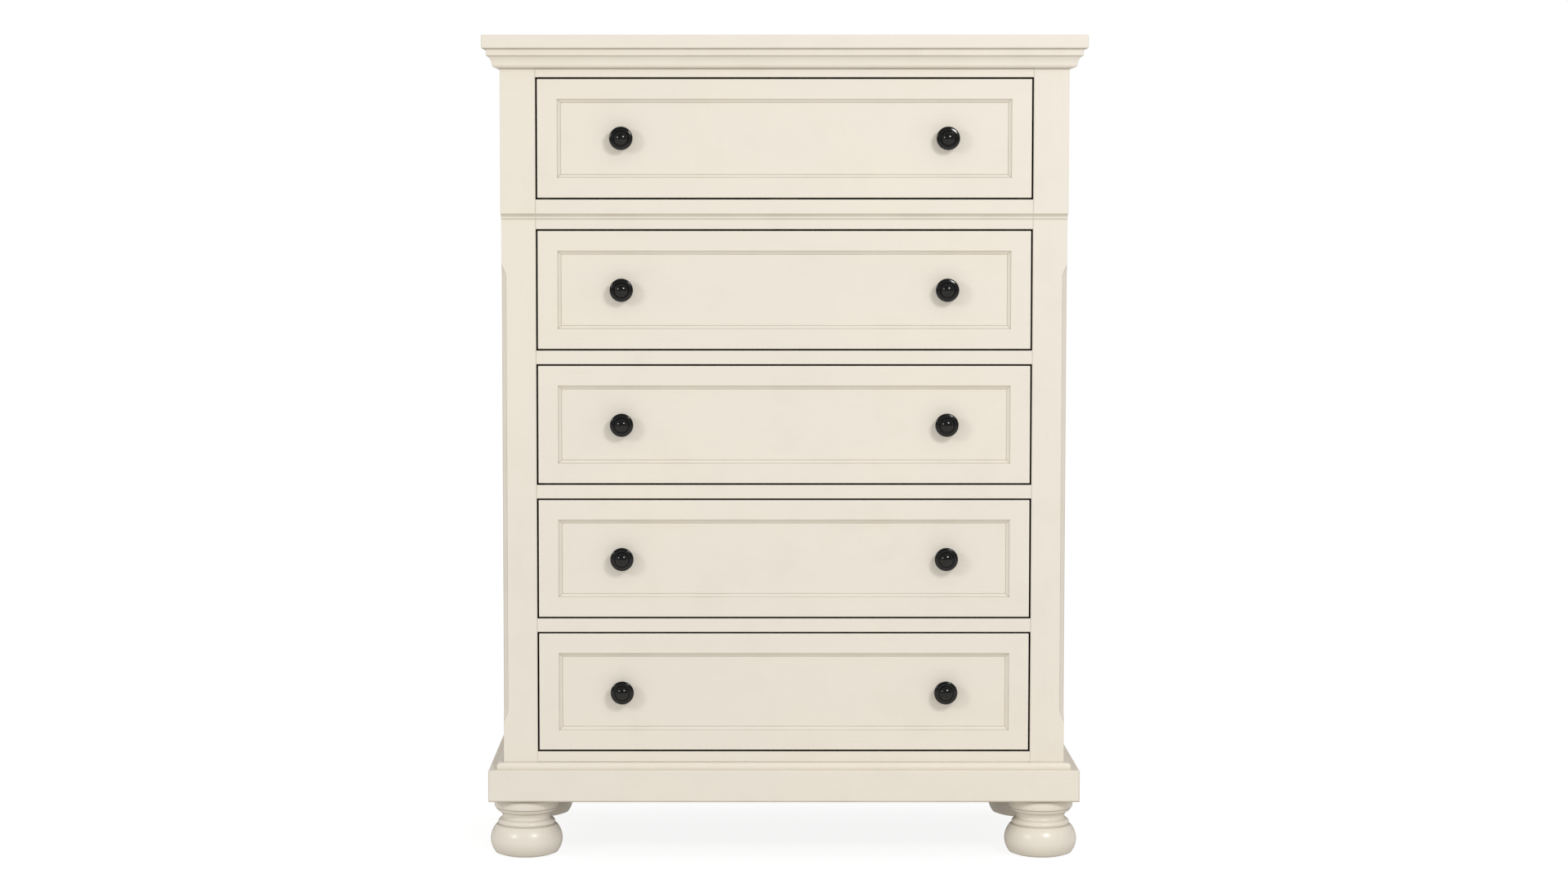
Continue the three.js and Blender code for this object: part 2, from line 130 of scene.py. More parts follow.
class ChestEdges(bpy.types.PropertyGroup):
    """How crisp the joinery is."""

    ease: length("Ease", "Rounding of an outward edge", 0.9 * MM)
    # The darkening left beside an inward corner is glaze and painted shade.
    crease: length("Crease", "Width of the glaze left beside an inward corner", 1.1 * MM)
    waist_drop: length("Waist drop", "Waist moulding below the top of its rail", 23.3 * MM)
    waist_height: length("Waist height", "Height of the waist moulding", 8.6 * MM)
    chamfer: length("Chamfer", "Width of the stopped chamfers on the posts", 8 * MM)
    chamfer_quirk: length("Chamfer quirk", "Small step along each chamfer edge", 0.45 * MM)
    chamfer_low: length("Chamfer foot", "Height at which the chamfers begin", 222 * MM)
    chamfer_high: length("Chamfer head", "Height at which the chamfers end", 1002 * MM)
    chamfer_stop: length("Chamfer stop", "Length of the curved stop at each end", 30 * MM)


class ChestFronts(bpy.types.PropertyGroup):
    """The panelled drawer fronts and sides."""

    frame_width: length("Frame width", "Flat border round each drawer panel", 32.5 * MM)
    moulding: length("Moulding", "Width of the moulding inside the border", 6.5 * MM)
    recess: length("Recess", "Depth of the panel behind the border", 5.5 * MM)
    quirk: length("Quirk", "Small step at each side of the moulding", 0.8 * MM)
    stile: length("Side stile", "Width of the side's rear stile", 57 * MM)
    side_rail: length("Side rail", "Height of the side's bottom rail", 70 * MM)


class ChestPaint(bpy.types.PropertyGroup):
    """Painted and wooden finishes."""

    paint: colour("Paint", "Antique white paint", (0.800, 0.744, 0.657))
    warm: colour("Warm clouds", "Slow change of tone across the paint", (0.832, 0.766, 0.652))
    # The glaze colour gives wiped glaze and brush streaks, and also painted shade in creases, under
    # edges and on the rims of turned work; the strength below sets how dark that glaze and painted
    # shade is.
    glaze: colour("Glaze", "Tan glaze wiped into the corners", (0.33, 0.265, 0.19))
    glaze_strength: share("Glaze strength", "How much glaze is left in the corners", 0.72)
    lacquer: colour("Lacquer", "Black lacquer of the knobs", (0.004, 0.004, 0.0042))
    # Very dark stain on the faces inside the openings, dark enough to paint shade into the drawer
    # gaps.
    stain: colour("Stain", "Dark stain inside the openings", (0.055, 0.038, 0.024))
    maple: colour("Drawer wood", "Clear-lacquered drawer sides", (0.60, 0.43, 0.25))
    ply: colour("Plywood", "Drawer bottoms and the back", (0.52, 0.38, 0.22))
    zinc: colour("Zinc", "Screws and bolts", (0.55, 0.55, 0.53))
    nylon: colour("Nylon", "Drawer glides", (0.72, 0.71, 0.68))


class ChestKnobs(bpy.types.PropertyGroup):
    """The round knobs, as shares of the knob's radius."""

    dome: share("Dome", "Radius of the domed middle", 0.56)
    ridge: share("Ridge", "Radius of the raised ring", 0.69)
    neck: share("Neck", "Radius of the neck", 0.36)
    foot: share("Base", "Radius of the base against the drawer", 0.56)


class ChestStage(bpy.types.PropertyGroup):
    """Camera and light."""

    camera_x: bpy.props.FloatProperty(
        name="Camera X", description="Camera to the right of the middle",
        default=-0.0798, subtype="DISTANCE", unit="LENGTH",
    )
    camera_distance: length("Camera distance", "Camera in front of the case", 5.428)
    camera_height: length("Camera height", "Camera above the floor", 1.13)
    camera_tilt: bpy.props.FloatProperty(
        name="Camera tilt", description="Camera tilt below the horizon",
        default=math.radians(4.0), subtype="ANGLE", unit="ROTATION",
    )
    lens: bpy.props.FloatProperty(
        name="Lens", description="Focal length in millimetres", default=75.11, min=10.0,
    )
    key: bpy.props.FloatProperty(
        name="Key light", description="Power of the right-hand light", default=46.5,
        subtype="POWER", unit="POWER",
    )
    fill: bpy.props.FloatProperty(
        name="Fill light", description="Power of the left-hand light", default=30.5,
        subtype="POWER", unit="POWER",
    )
    sky: share("Room light", "Brightness of the pale room", 0.72)


# ------------------------------------------------------------------ shared node groups

def new_group(name, inputs, outputs):
    """An empty node group with named sockets, given as (name, kind, default) rows."""
    group = bpy.data.node_groups.new(name, "ShaderNodeTree")
    for label, kind, default in inputs:
        socket = group.interface.new_socket(name=label, in_out="INPUT", socket_type=kind)
        socket.default_value = default
    for label, kind in outputs:
        group.interface.new_socket(name=label, in_out="OUTPUT", socket_type=kind)
    entry = group.nodes.new("NodeGroupInput")
    exit_node = group.nodes.new("NodeGroupOutput")
    return group, entry, exit_node


def add_node(tree, kind, links=(), **settings):
    """A node with its settings, and its inputs linked or set by name or number."""
    node = tree.nodes.new(kind)
    for key, value in settings.items():
        setattr(node, key, value)
    for socket, value in dict(links).items():
        if isinstance(value, bpy.types.NodeSocket):
            tree.links.new(value, node.inputs[socket])
        else:
            node.inputs[socket].default_value = value
    return node


def mix_colour(tree, factor, first, second):
    """The colour between two others."""
    links = {"Factor": factor, 6: first, 7: second}
    node = add_node(tree, "ShaderNodeMix", links, data_type="RGBA")
    return node.outputs[2]


def calculate(tree, operation, first, second=0.0, clamp=False):
    """One sum of two numbers."""
    links = {0: first, 1: second}
    return add_node(tree, "ShaderNodeMath", links, operation=operation, use_clamp=clamp).outputs[0]


def ramp(tree, value, low, high, start=0.0, end=1.0):
    """A number carried from one range to another and held there."""
    links = {"Value": value, "From Min": low, "From Max": high, "To Min": start, "To Max": end}
    return add_node(tree, "ShaderNodeMapRange", links, clamp=True).outputs[0]


def stretched_noise(tree, stretch, scale, detail, roughness=0.5):
    """Noise on the piece itself, drawn out by a stretch vector."""
    place = add_node(tree, "ShaderNodeTexCoord").outputs["Object"]
    links = {0: place, 1: stretch}
    drawn = add_node(tree, "ShaderNodeVectorMath", links, operation="MULTIPLY").outputs[0]
    links = {"Vector": drawn, "Scale": scale, "Detail": detail, "Roughness": roughness}
    return add_node(tree, "ShaderNodeTexNoise", links).outputs[0]


EVEN = (1.0, 1.0, 1.0)
CLOUD_SCALE = 3.1
CLOUD_SHARE = 0.55
PATCH_SCALE = 17.0
WIPED_SHARE = 0.05
BRUSH_SCALE = 260.0
PAINT_PORE_SCALE = 900.0
FIGURE_SCALE = 26.0
RINGS_ACROSS = 7.0
WOOD_PORE_SCALE = 420.0
WOOD_TONE_SCALE = 5.0


def brushed_paint_and_shade_group():
    """Hand-rubbed paint: clouded colour, glaze and painted shade in the corners, creases and under
    edges, and faint brush marks.
    """
    group, given, out = new_group(
        "brushed_paint",
        [
            ("Paint", "NodeSocketColor", (0.8, 0.8, 0.8, 1.0)),
            ("Warm", "NodeSocketColor", (0.8, 0.8, 0.7, 1.0)),
            ("Glaze", "NodeSocketColor", (0.3, 0.25, 0.2, 1.0)),
            ("Glaze strength", "NodeSocketFloat", 0.7),
            ("Grain", "NodeSocketVector", (1.0, 1.0, 1.0)),
            ("Base roughness", "NodeSocketFloat", 0.4),
        ],
        [
            ("Colour", "NodeSocketColor"),
            ("Roughness", "NodeSocketFloat"),
            ("Height", "NodeSocketFloat"),
        ],
    )
    cloud = stretched_noise(group, EVEN, CLOUD_SCALE, 3.0)
    patch = stretched_noise(group, EVEN, PATCH_SCALE, 2.0)
    brush = stretched_noise(group, given.outputs["Grain"], BRUSH_SCALE, 4.0, 0.62)
    pore = stretched_noise(group, given.outputs["Grain"], PAINT_PORE_SCALE, 2.0)
    warm = mix_colour(
        group, ramp(group, cloud, 0.35, 0.7, 0.0, CLOUD_SHARE), given.outputs["Paint"],
        given.outputs["Warm"],
    )
    wiped = mix_colour(
        group, ramp(group, patch, 0.5, 0.8, 0.0, WIPED_SHARE), warm, given.outputs["Glaze"],
    )
    streaked = mix_colour(
        group, ramp(group, brush, 0.55, 0.85, 0.0, WIPED_SHARE), wiped, given.outputs["Glaze"],
    )
    # Painted shade: the per-point mask pulls creases, quirks and under edges towards the glaze
    # colour, standing for glaze and shade together.
    glaze_and_shade_mask = add_node(group, "ShaderNodeAttribute", attribute_name="glaze").outputs["Fac"]
    broken = ramp(group, patch, 0.25, 0.75, 0.72, 1.0)
    deep = calculate(group, "MULTIPLY", glaze_and_shade_mask, broken)
    deep = calculate(group, "MULTIPLY", deep, given.outputs["Glaze strength"], clamp=True)
    coloured = mix_colour(group, deep, streaked, given.outputs["Glaze"])
    rough = calculate(
        group, "ADD", given.outputs["Base roughness"], ramp(group, patch, 0.3, 0.7, -0.04, 0.06),
    )
    rough = calculate(group, "ADD", rough, calculate(group, "MULTIPLY", deep, 0.2), clamp=True)
    height = calculate(group, "ADD", brush, calculate(group, "MULTIPLY", pore, 0.4))
    group.links.new(coloured, out.inputs["Colour"])
    group.links.new(rough, out.inputs["Roughness"])
    group.links.new(height, out.inputs["Height"])
    return group


def wood_grain_group():
    """Plain-sawn wood: long wavy figure, fine pores and a slow change of tone."""
    group, given, out = new_group(
        "wood_grain",
        [
            ("Light", "NodeSocketColor", (0.6, 0.4, 0.25, 1.0)),
            ("Dark", "NodeSocketColor", (0.4, 0.25, 0.14, 1.0)),
            ("Grain", "NodeSocketVector", (1.0, 1.0, 1.0)),
            ("Figure", "NodeSocketFloat", 0.5),
            ("Base roughness", "NodeSocketFloat", 0.5),
        ],
        [
            ("Colour", "NodeSocketColor"),
            ("Roughness", "NodeSocketFloat"),
            ("Height", "NodeSocketFloat"),
        ],
    )
    grain = given.outputs["Grain"]
    broad = stretched_noise(group, grain, FIGURE_SCALE, 3.0, 0.55)
    rings = calculate(group, "FRACT", calculate(group, "MULTIPLY", broad, RINGS_ACROSS))
    folded = calculate(group, "ABSOLUTE", calculate(group, "SUBTRACT", rings, 0.5))
    figure = calculate(group, "MULTIPLY", ramp(group, folded, 0.05, 0.5), given.outputs["Figure"])
    pore = stretched_noise(group, grain, WOOD_PORE_SCALE, 3.0, 0.6)
    tone = stretched_noise(group, EVEN, WOOD_TONE_SCALE, 1.0)
    base = mix_colour(group, figure, given.outputs["Light"], given.outputs["Dark"])
    pored = mix_colour(group, ramp(group, pore, 0.55, 0.78, 0.0, 0.5), base, given.outputs["Dark"])
    toned = mix_colour(
        group, ramp(group, tone, 0.35, 0.7, 0.0, 0.25), pored, given.outputs["Dark"],
    )
    rough = calculate(
        group, "ADD", given.outputs["Base roughness"], ramp(group, pore, 0.4, 0.8, -0.03, 0.12),
    )
    group.links.new(toned, out.inputs["Colour"])
    group.links.new(rough, out.inputs["Roughness"])
    group.links.new(calculate(group, "SUBTRACT", 1.0, pore), out.inputs["Height"])
    return group


# ------------------------------------------------------------------ materials

GROUPS = {}
MATERIALS = {}
GRAINS = {"x": (0.05, 1.0, 1.0), "y": (1.0, 0.05, 1.0), "z": (1.0, 1.0, 0.05)}
BOARD_ROUGHNESS = 0.42
TURNED_ROUGHNESS = 0.27
# Where and how strongly painted shade darkens the rims of turned work.
RIM_START = 0.72
RIM_SHARE = 0.75
FIGURES = {"maple": 0.35, "ply": 0.6, "stain": 0.5}
DARK_WOOD = 0.62
SPECKLE_SCALE = 700.0
SMEAR_SCALE = 60.0


def shared_group(name, maker):
    """A node group, made the first time it is wanted."""
    if name not in GROUPS:
        GROUPS[name] = maker()
    return GROUPS[name]


def opaque(rgb):
    """A colour with full opacity, as shader sockets take it."""
    return (rgb[0], rgb[1], rgb[2], 1.0)


def principled(name, bump_strength, bump_depth, group, values):
    """A Principled material fed by a shared group's colour, roughness and height."""
    material = bpy.data.materials.new(name)
    material.use_nodes = True
    tree = material.node_tree
    shader = tree.nodes["Principled BSDF"]
    source = tree.nodes.new("ShaderNodeGroup")
    source.node_tree = group
    for label, value in values.items():
        source.inputs[label].default_value = value
    links = {"Strength": bump_strength, "Distance": bump_depth, "Height": source.outputs["Height"]}
    bump = add_node(tree, "ShaderNodeBump", links)
    tree.links.new(source.outputs["Colour"], shader.inputs["Base Color"])
    tree.links.new(source.outputs["Roughness"], shader.inputs["Roughness"])
    tree.links.new(bump.outputs["Normal"], shader.inputs["Normal"])
    return material


def paint_material(name, grain, roughness):
    """The cream paint, with its brush marks along one axis."""
    look = bpy.context.scene.chest_paint
    return principled(
        name, 0.18, 0.4 * MM, shared_group("brushed_paint", brushed_paint_and_shade_group),
        {
            "Paint": opaque(look.paint),
            "Warm": opaque(look.warm),
            "Glaze": opaque(look.glaze),
            "Glaze strength": look.glaze_strength,
            "Grain": GRAINS[grain],
            "Base roughness": roughness,
        },
    )


def paint(grain):
    """Satin cream paint for boards whose grain runs along one axis."""
    name = f"cream_paint_{grain}"
    if name not in MATERIALS:
        MATERIALS[name] = paint_material(name, grain, BOARD_ROUGHNESS)
    return MATERIALS[name]


def turned_paint():
    """The cream paint on turned work, glossier, and a little darker where it turns away, as painted
    shade in the glaze colour.
    """
    name = "turned_paint"
    if name not in MATERIALS:
        material = paint_material(name, "z", TURNED_ROUGHNESS)
        tree = material.node_tree
        base = tree.nodes["Principled BSDF"].inputs["Base Color"]
        shaded_paint = base.links[0].from_socket
        # Painted shade along the silhouette: the glaze colour is mixed in where the surface faces
        # away from the view.
        away = add_node(tree, "ShaderNodeLayerWeight", {"Blend": 0.5}).outputs["Facing"]
        glaze = opaque(bpy.context.scene.chest_paint.glaze)
        shaded_rim = mix_colour(tree, ramp(tree, away, RIM_START, 1.0, 0.0, RIM_SHARE), shaded_paint, glaze)
        tree.links.new(shaded_rim, base)
        MATERIALS[name] = material
    return MATERIALS[name]


def wood(kind, grain):
    """Bare or stained wood: drawer wood, plywood or the dark stain inside the openings, which also
    paints shade into the drawer gaps.
    """
    name = f"{kind}_{grain}"
    if name not in MATERIALS:
        light = getattr(bpy.context.scene.chest_paint, kind)
        MATERIALS[name] = principled(
            name, 0.25, 0.3 * MM, shared_group("wood_grain", wood_grain_group),
            {
                "Light": opaque(light),
                "Dark": opaque([DARK_WOOD * part for part in light]),
                "Grain": GRAINS[grain],
                "Figure": FIGURES[kind],
                "Base roughness": 0.5,
            },
        )
    return MATERIALS[name]


def speckled(name, rgb, roughness, metallic, speckle):
    """A hard finish with fine grain in its colour and gloss: lacquer, zinc or nylon."""
    if name not in MATERIALS:
        material = bpy.data.materials.new(name)
        material.use_nodes = True
        tree = material.node_tree
        shader = tree.nodes["Principled BSDF"]
        fine = stretched_noise(tree, EVEN, SPECKLE_SCALE, 3.0)
        soft = stretched_noise(tree, EVEN, SMEAR_SCALE, 2.0)
        lighter = opaque([min(1.0, part * (1 + speckle) + 0.002) for part in rgb])
        shade = mix_colour(tree, ramp(tree, fine, 0.4, 0.75), opaque(rgb), lighter)
        tree.links.new(shade, shader.inputs["Base Color"])
        rough = ramp(tree, soft, 0.3, 0.7, roughness - 0.04, roughness + 0.05)
        tree.links.new(rough, shader.inputs["Roughness"])
        links = {"Strength": 0.08, "Distance": 0.2 * MM, "Height": fine}
        bump = add_node(tree, "ShaderNodeBump", links)
        tree.links.new(bump.outputs["Normal"], shader.inputs["Normal"])
        shader.inputs["Metallic"].default_value = metallic
        MATERIALS[name] = material
    return MATERIALS[name]


def lacquer():
    """The black lacquer of the knobs."""
    return speckled("black_lacquer", bpy.context.scene.chest_paint.lacquer, 0.12, 0.0, 0.6)


def zinc():
    """The bright plating of screws and bolts."""
    return speckled("zinc_plate", bpy.context.scene.chest_paint.zinc, 0.32, 1.0, 0.1)


def nylon():
    """The white plastic of the drawer glides."""
    return speckled("white_nylon", bpy.context.scene.chest_paint.nylon, 0.4, 0.0, 0.04)


# ------------------------------------------------------------------ outlines

SMOOTH_TURN = math.radians(24)
SHARP_EDGE = math.radians(34)
MERGE_DISTANCE = 1e-6
ARC_STEPS = 4
ROOM_SHARE = 0.45


def arc(cx, cy, rx, ry, start, end, steps):
    """Points of an elliptical arc between two angles in degrees."""
    points = []
    for i in range(steps + 1):
        angle = math.radians(start + (end - start) * i / steps)
        points.append((cx + rx * math.cos(angle), cy + ry * math.sin(angle)))
    return points


def clean(points):
    """Outline points as rows with no glaze."""
    return [(a, b, 0.0) for a, b in points]


def rectangle(low_u, high_u, low_v, high_v):
    """The corners of a rectangle, anticlockwise."""
    return [(low_u, low_v), (high_u, low_v), (high_u, high_v), (low_u, high_v)]


def soften(points, ease, crease, glaze=1.0):
    """Rounds the outward corners of an anticlockwise outline, and marks the inward ones.

    Gives (u, v, glaze and shade) rows: glaze and painted shade fade out a crease width away from an
    inward corner.
    A point may carry its own easing as a third number, and painted shade for its arris as a fourth.
    """
    rows = []
    count = len(points)
    for i, point in enumerate(points):
        here = Vector(point[:2])
        before = here - Vector(points[i - 1][:2])
        after = Vector(points[(i + 1) % count][:2]) - here
        turn = math.atan2(before.cross(after), before.dot(after))
        room = ROOM_SHARE * min(before.length, after.length)
        if abs(turn) < SMOOTH_TURN:
            rows.append((here.x, here.y, 0.0))
        elif turn > 0:
            radius = point[2] if len(point) > 2 else ease
            back = min(radius * math.tan(turn / 2), room)
            start = here - before.normalized() * back
            end = here + after.normalized() * back
            glaze_and_shade_mask = point[3] if len(point) > 3 else 0.0
            if glaze_and_shade_mask:
                spot = start - before.normalized() * crease
                rows.append((spot.x, spot.y, 0.0))
            for step in range(ARC_STEPS + 1):
                t = step / ARC_STEPS
                spot = start * (1 - t) ** 2 + here * 2 * t * (1 - t) + end * t * t
                rows.append((spot.x, spot.y, glaze_and_shade_mask))
            if glaze_and_shade_mask:
                spot = end + after.normalized() * crease
                rows.append((spot.x, spot.y, 0.0))
        else:
            reach = min(crease, room)
            start = here - before.normalized() * reach
            end = here + after.normalized() * reach
            rows.append((start.x, start.y, 0.0))
            rows.append((here.x, here.y, glaze))
            rows.append((end.x, end.y, 0.0))
    return rows


def inset_rows(rows, depth):
    """A closed outline drawn in by a small depth along its own normals."""
    drawn = []
    count = len(rows)
    for i, (u, v, glaze) in enumerate(rows):
        before = Vector(rows[i - 1][:2])
        after = Vector(rows[(i + 1) % count][:2])
        along = (after - before).normalized()
        drawn.append((u - along.y * depth, v + along.x * depth, glaze))
    return drawn


# ------------------------------------------------------------------ solids from rings

class Solid:
    """A closed mesh under construction, with glaze and painted shade on its points and a finish on
    each face.
    """

    def __init__(self):
        self.points = []
        self.glaze = []
        self.faces = []
        self.finishes = []

    def ring(self, places):
        """Adds (position, glaze) places and gives back their numbers."""
        first = len(self.points)
        for position, glaze in places:
            self.points.append(Vector(position))
            self.glaze.append(glaze)
        return list(range(first, len(self.points)))

    def face(self, corners):
        """Adds a face with the first finish."""
        self.faces.append(list(corners))
        self.finishes.append(0)

    def stack(self, rings):
        """Skins a list of rings one after another and closes both ends."""
        for near, far in zip(rings, rings[1:]):
            count = len(near)
            for i in range(count):
                after = (i + 1) % count
                self.face((near[i], near[after], far[after], far[i]))
        self.face(reversed(rings[0]))
        self.face(rings[-1])
        return self

    def finish_where(self, test, number=1):
        """Gives a second finish to the faces whose middle passes a test."""
        for i, face in enumerate(self.faces):
            middle = sum((self.points[k] for k in face), Vector()) / len(face)
            if test(middle):
                self.finishes[i] = number
        return self

    def mirrored(self):
        """The same solid on the other side of the chest."""
        for point in self.points:
            point.x = -point.x
        return self

    def add(self, other):
        """Takes in another closed solid."""
        first = len(self.points)
        self.points += other.points
        self.glaze += other.glaze
        self.faces += [[first + i for i in face] for face in other.faces]
        self.finishes += other.finishes
        return self


def make_piece(solid, name, body, finishes, replaces=()):
    """Turns a solid into an object that rides on a body and may stand for frame nodes."""
    mesh = bpy.data.meshes.new(name)
    mesh.from_pydata([tuple(p) for p in solid.points], [], solid.faces)
    # Per-point mask of glaze and painted shade for creases, quirks and under edges.
    mesh.attributes.new("glaze", "FLOAT", "POINT").data.foreach_set("value", solid.glaze)
    for finish in finishes:
        mesh.materials.append(finish)
    mesh.polygons.foreach_set("material_index", solid.finishes)
    shell = bmesh.new()
    shell.from_mesh(mesh)
    bmesh.ops.remove_doubles(shell, verts=shell.verts, dist=MERGE_DISTANCE)
    bmesh.ops.recalc_face_normals(shell, faces=shell.faces)
    for face in shell.faces:
        face.smooth = True
    for edge in shell.edges:
        edge.smooth = edge.calc_face_angle(0.0) < SHARP_EDGE
    shell.to_mesh(mesh)
    shell.free()
    piece = bpy.data.objects.new(name, mesh)
    bpy.context.scene.collection.objects.link(piece)
    shading = piece.modifiers.new("even_shading", "WEIGHTED_NORMAL")
    shading.keep_sharp = True
    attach(piece, body)
    if replaces:
        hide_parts(*replaces)
    return piece


def swept(rows, stations):
    """A solid from one outline carried through stations of (place, depth, glaze and shade).

    Place turns an outline's (u, v) into a position, and depth draws the outline in.
    """
    solid = Solid()
    rings = []
    for place, depth, extra in stations:
        drawn = inset_rows(rows, depth) if depth else rows
        rings.append(solid.ring([(place(u, v), max(glaze, extra)) for u, v, glaze in drawn]))
    return solid.stack(rings)


def eased_stations(place_at, start, end, ease, glaze):
    """Stations from start to end, with both end edges eased and glazed."""
    fade = 2 * ease
    rows = [
        (start, ease, glaze), (start + ease, 0.0, 0.5 * glaze), (start + ease + fade, 0.0, 0.0),
        (end - ease - fade, 0.0, 0.0), (end - ease, 0.0, 0.5 * glaze), (end, ease, glaze),
    ]
    return [(place_at(spot), depth, extra) for spot, depth, extra in rows]


def straight_run(rows, axis, start, end, ease, glaze=0.0):
    """An outline run along one axis: rows are (y, z) along X, (x, z) along Y, (x, y) along Z."""
    def place_at(spot):
        """Turns a distance along the run into a placing of the outline."""
        return {
            "x": lambda u, v: (spot, u, v),
            "y": lambda u, v: (u, spot, v),
            "z": lambda u, v: (u, v, spot),
        }[axis]
    return swept(rows, eased_stations(place_at, start, end, ease, glaze))


def eased_board(low, high, axis, ease, glaze=0.0):
    """A board between two corners, run along one axis, with every edge eased."""
    u, v, along = {"x": (1, 2, 0), "y": (0, 2, 1), "z": (0, 1, 2)}[axis]
    rows = soften(rectangle(low[u], high[u], low[v], high[v]), ease, ease)
    return straight_run(rows, axis, low[along], high[along], ease, glaze)


def mitred_run(rows, path, first, ease, glaze):
    """One length of a moulding that follows a path in plan, cut at the path's own mitres.

    Rows are (out, z), where out is to the right of the direction of travel.
    """
    def mitre_at(i):
        """The plan direction in which a corner of the path grows outwards."""
        normals = []
        for a, b in ((i - 1, i), (i, i + 1)):
            if a >= 0 and b < len(path):
                along = (Vector(path[b]) - Vector(path[a])).normalized()
                normals.append(Vector((along.y, -along.x)))
        if len(normals) == 1:
            return normals[0]
        return (normals[0] + normals[1]) / (1 + normals[0].dot(normals[1]))

    start, end = Vector(path[first]), Vector(path[first + 1])
    along = (end - start).normalized()

    def place_from(corner, mitre):
        def place_at(offset):
            def place(out, z):
                spot = corner + along * offset + mitre * out
                return (spot.x, spot.y, z)
            return place
        return place_at

    near = place_from(start, mitre_at(first))
    far = place_from(end, mitre_at(first + 1))
    fade = 3 * ease
    stations = [
        (near(0.0), ease, glaze), (near(ease), 0.0, 0.5 * glaze), (near(fade), 0.0, 0.0),
        (far(-fade), 0.0, 0.0), (far(-ease), 0.0, 0.5 * glaze), (far(0.0), ease, glaze),
    ]
    return swept(rows, stations)


def layered(rows, half, front, back, corner, corner_glaze=0.0):
    """A slab whose moulded edge runs round its front and both sides.

    Rows are (out, z, glaze and shade) from bottom to top. Corner eases its two upright front
    corners.
    """
    solid = Solid()
    rings = []
    for out, z, glaze in rows:
        edge = half + out
        face = front - out
        bend = arc(edge - corner, face + corner, corner, corner, 0, -90, 3)
        mid = max(glaze, corner_glaze)
        right = [((edge, back, z), glaze), ((edge, face + 3 * corner, z), glaze)]
        right += [((x, y, z), mid) for x, y in bend]
        right += [((edge - 3 * corner, face, z), glaze)]
        left = [((-x, y, level), shade) for (x, y, level), shade in reversed(right)]
        rings.append(solid.ring(right + left))
    return solid.stack(rings)


def panelled(low_u, high_u, low_v, high_v, rows, place):
    """A rectangular board with a moulding round a recessed field, from rings of its outline.

    Rows are (inset, height, glaze and shade, corner glaze). Place turns (u, v, height) into a
    position.
    """
    solid = Solid()
    rings = []
    support = 1.6 * MM
    middle_u = 0.5 * (low_u + high_u)
    middle_v = 0.5 * (low_v + high_v)
    for inset, height, glaze, corner in rows:
        corners = rectangle(low_u + inset, high_u - inset, low_v + inset, high_v - inset)
        ring = []
        for i, (u, v) in enumerate(corners):
            sign_u = 1 if u < middle_u else -1
            sign_v = 1 if v < middle_v else -1
            beside = [(u, v + sign_v * support), (u + sign_u * support, v)]
            if i % 2:
                beside.reverse()
            ring.append((place(*beside[0], height), glaze))
            ring.append((place(u, v, height), max(glaze, corner)))
            ring.append((place(*beside[1], height), glaze))
        rings.append(solid.ring(ring))
    return solid.stack(rings)


def turned(rows, centre, axis, steps):
    """A lathe-turned solid. Rows are (radius, along, glaze and shade), from one end to the other.
    """
    solid = Solid()
    rings = []
    for radius, along, glaze in rows:
        ring = []
        for i in range(steps):
            angle = 2 * math.pi * i / steps
            a = radius * math.cos(angle)
            b = radius * math.sin(angle)
            if axis == "z":
                place = (centre[0] + a, centre[1] + b, centre[2] + along)
            else:
                place = (centre[0] + a, centre[1] - along, centre[2] + b)
            ring.append((place, glaze))
        rings.append(solid.ring(ring))
    return solid.stack(rings)


def screw_head(centre, radius, outward):
    """A countersunk screw head with a cross recess. Outward is +1 towards +Y."""
    solid = Solid()
    steps = 24
    rings = []
    profile = [
        (0.72, -0.9, 0), (1.0, -0.1, 0), (0.96, 0.05, 0), (0.55, 0.12, 0),
        (0.5, 0.1, 1), (0.46, -0.45, 1),
    ]
    for share_out, rise, recess in profile:
        ring = []
        for i in range(steps):
            angle = 2 * math.pi * i / steps
            lobe = 1.0 if not recess else 0.62 + 0.38 * abs(math.cos(2 * angle)) ** 3
            reach = radius * share_out * lobe
            x = centre[0] + reach * math.cos(angle)
            z = centre[2] + reach * math.sin(angle)
            ring.append(((x, centre[1] + outward * rise * MM, z), 0.0))
        rings.append(solid.ring(ring))
    return solid.stack(rings)


# ------------------------------------------------------------------ shared profiles

# Depth behind a front edge where the dark stain begins; the stain also paints shade into the gaps.
STAIN_AND_SHADE_LINE = 2.5 * MM
HAIR = 0.1 * MM
JOINT_EASE = 0.45 * MM
JOINT_GLAZE = 0.55
WAIST_FLAT_SHARE = 0.27
WAIST_FILLET = 4.3 * MM
WAIST_COVE_STEPS = 5


def waist_rows(proud, edges, low, high):
    """(out, z, glaze and shade) up the face of the case, through the small cove moulding at the
    waist.
    """
    head = WAIST_RAIL[1].z - edges.waist_drop
    foot = head - edges.waist_height
    flat = WAIST_FLAT_SHARE * proud
    fillet = foot + WAIST_FILLET
    # Painted shade darkens the cove under the step.
    cove = []
    for i in range(1, WAIST_COVE_STEPS + 1):
        angle = 0.5 * math.pi * i / WAIST_COVE_STEPS
        out = proud - (proud - flat) * math.cos(angle)
        z = fillet + (head - fillet) * math.sin(angle)
        cove.append((out, z, 0.8 - 0.06 * i))
    return [
        (0.0, low, 0.0), (0.0, foot - 2.0 * MM, 0.0), (0.0, foot - 0.1 * MM, 1.0),
        (flat - 0.2 * MM, foot, 0.9), (flat, foot + 0.5 * MM, 0.2),
        (flat, fillet - 1.2 * MM, 0.15), (flat, fillet, 0.8),
        *cove,
        (proud, head + 0.5 * MM, 0.0), (proud, high, 0.0),
    ]


# ------------------------------------------------------------------ carcass pieces

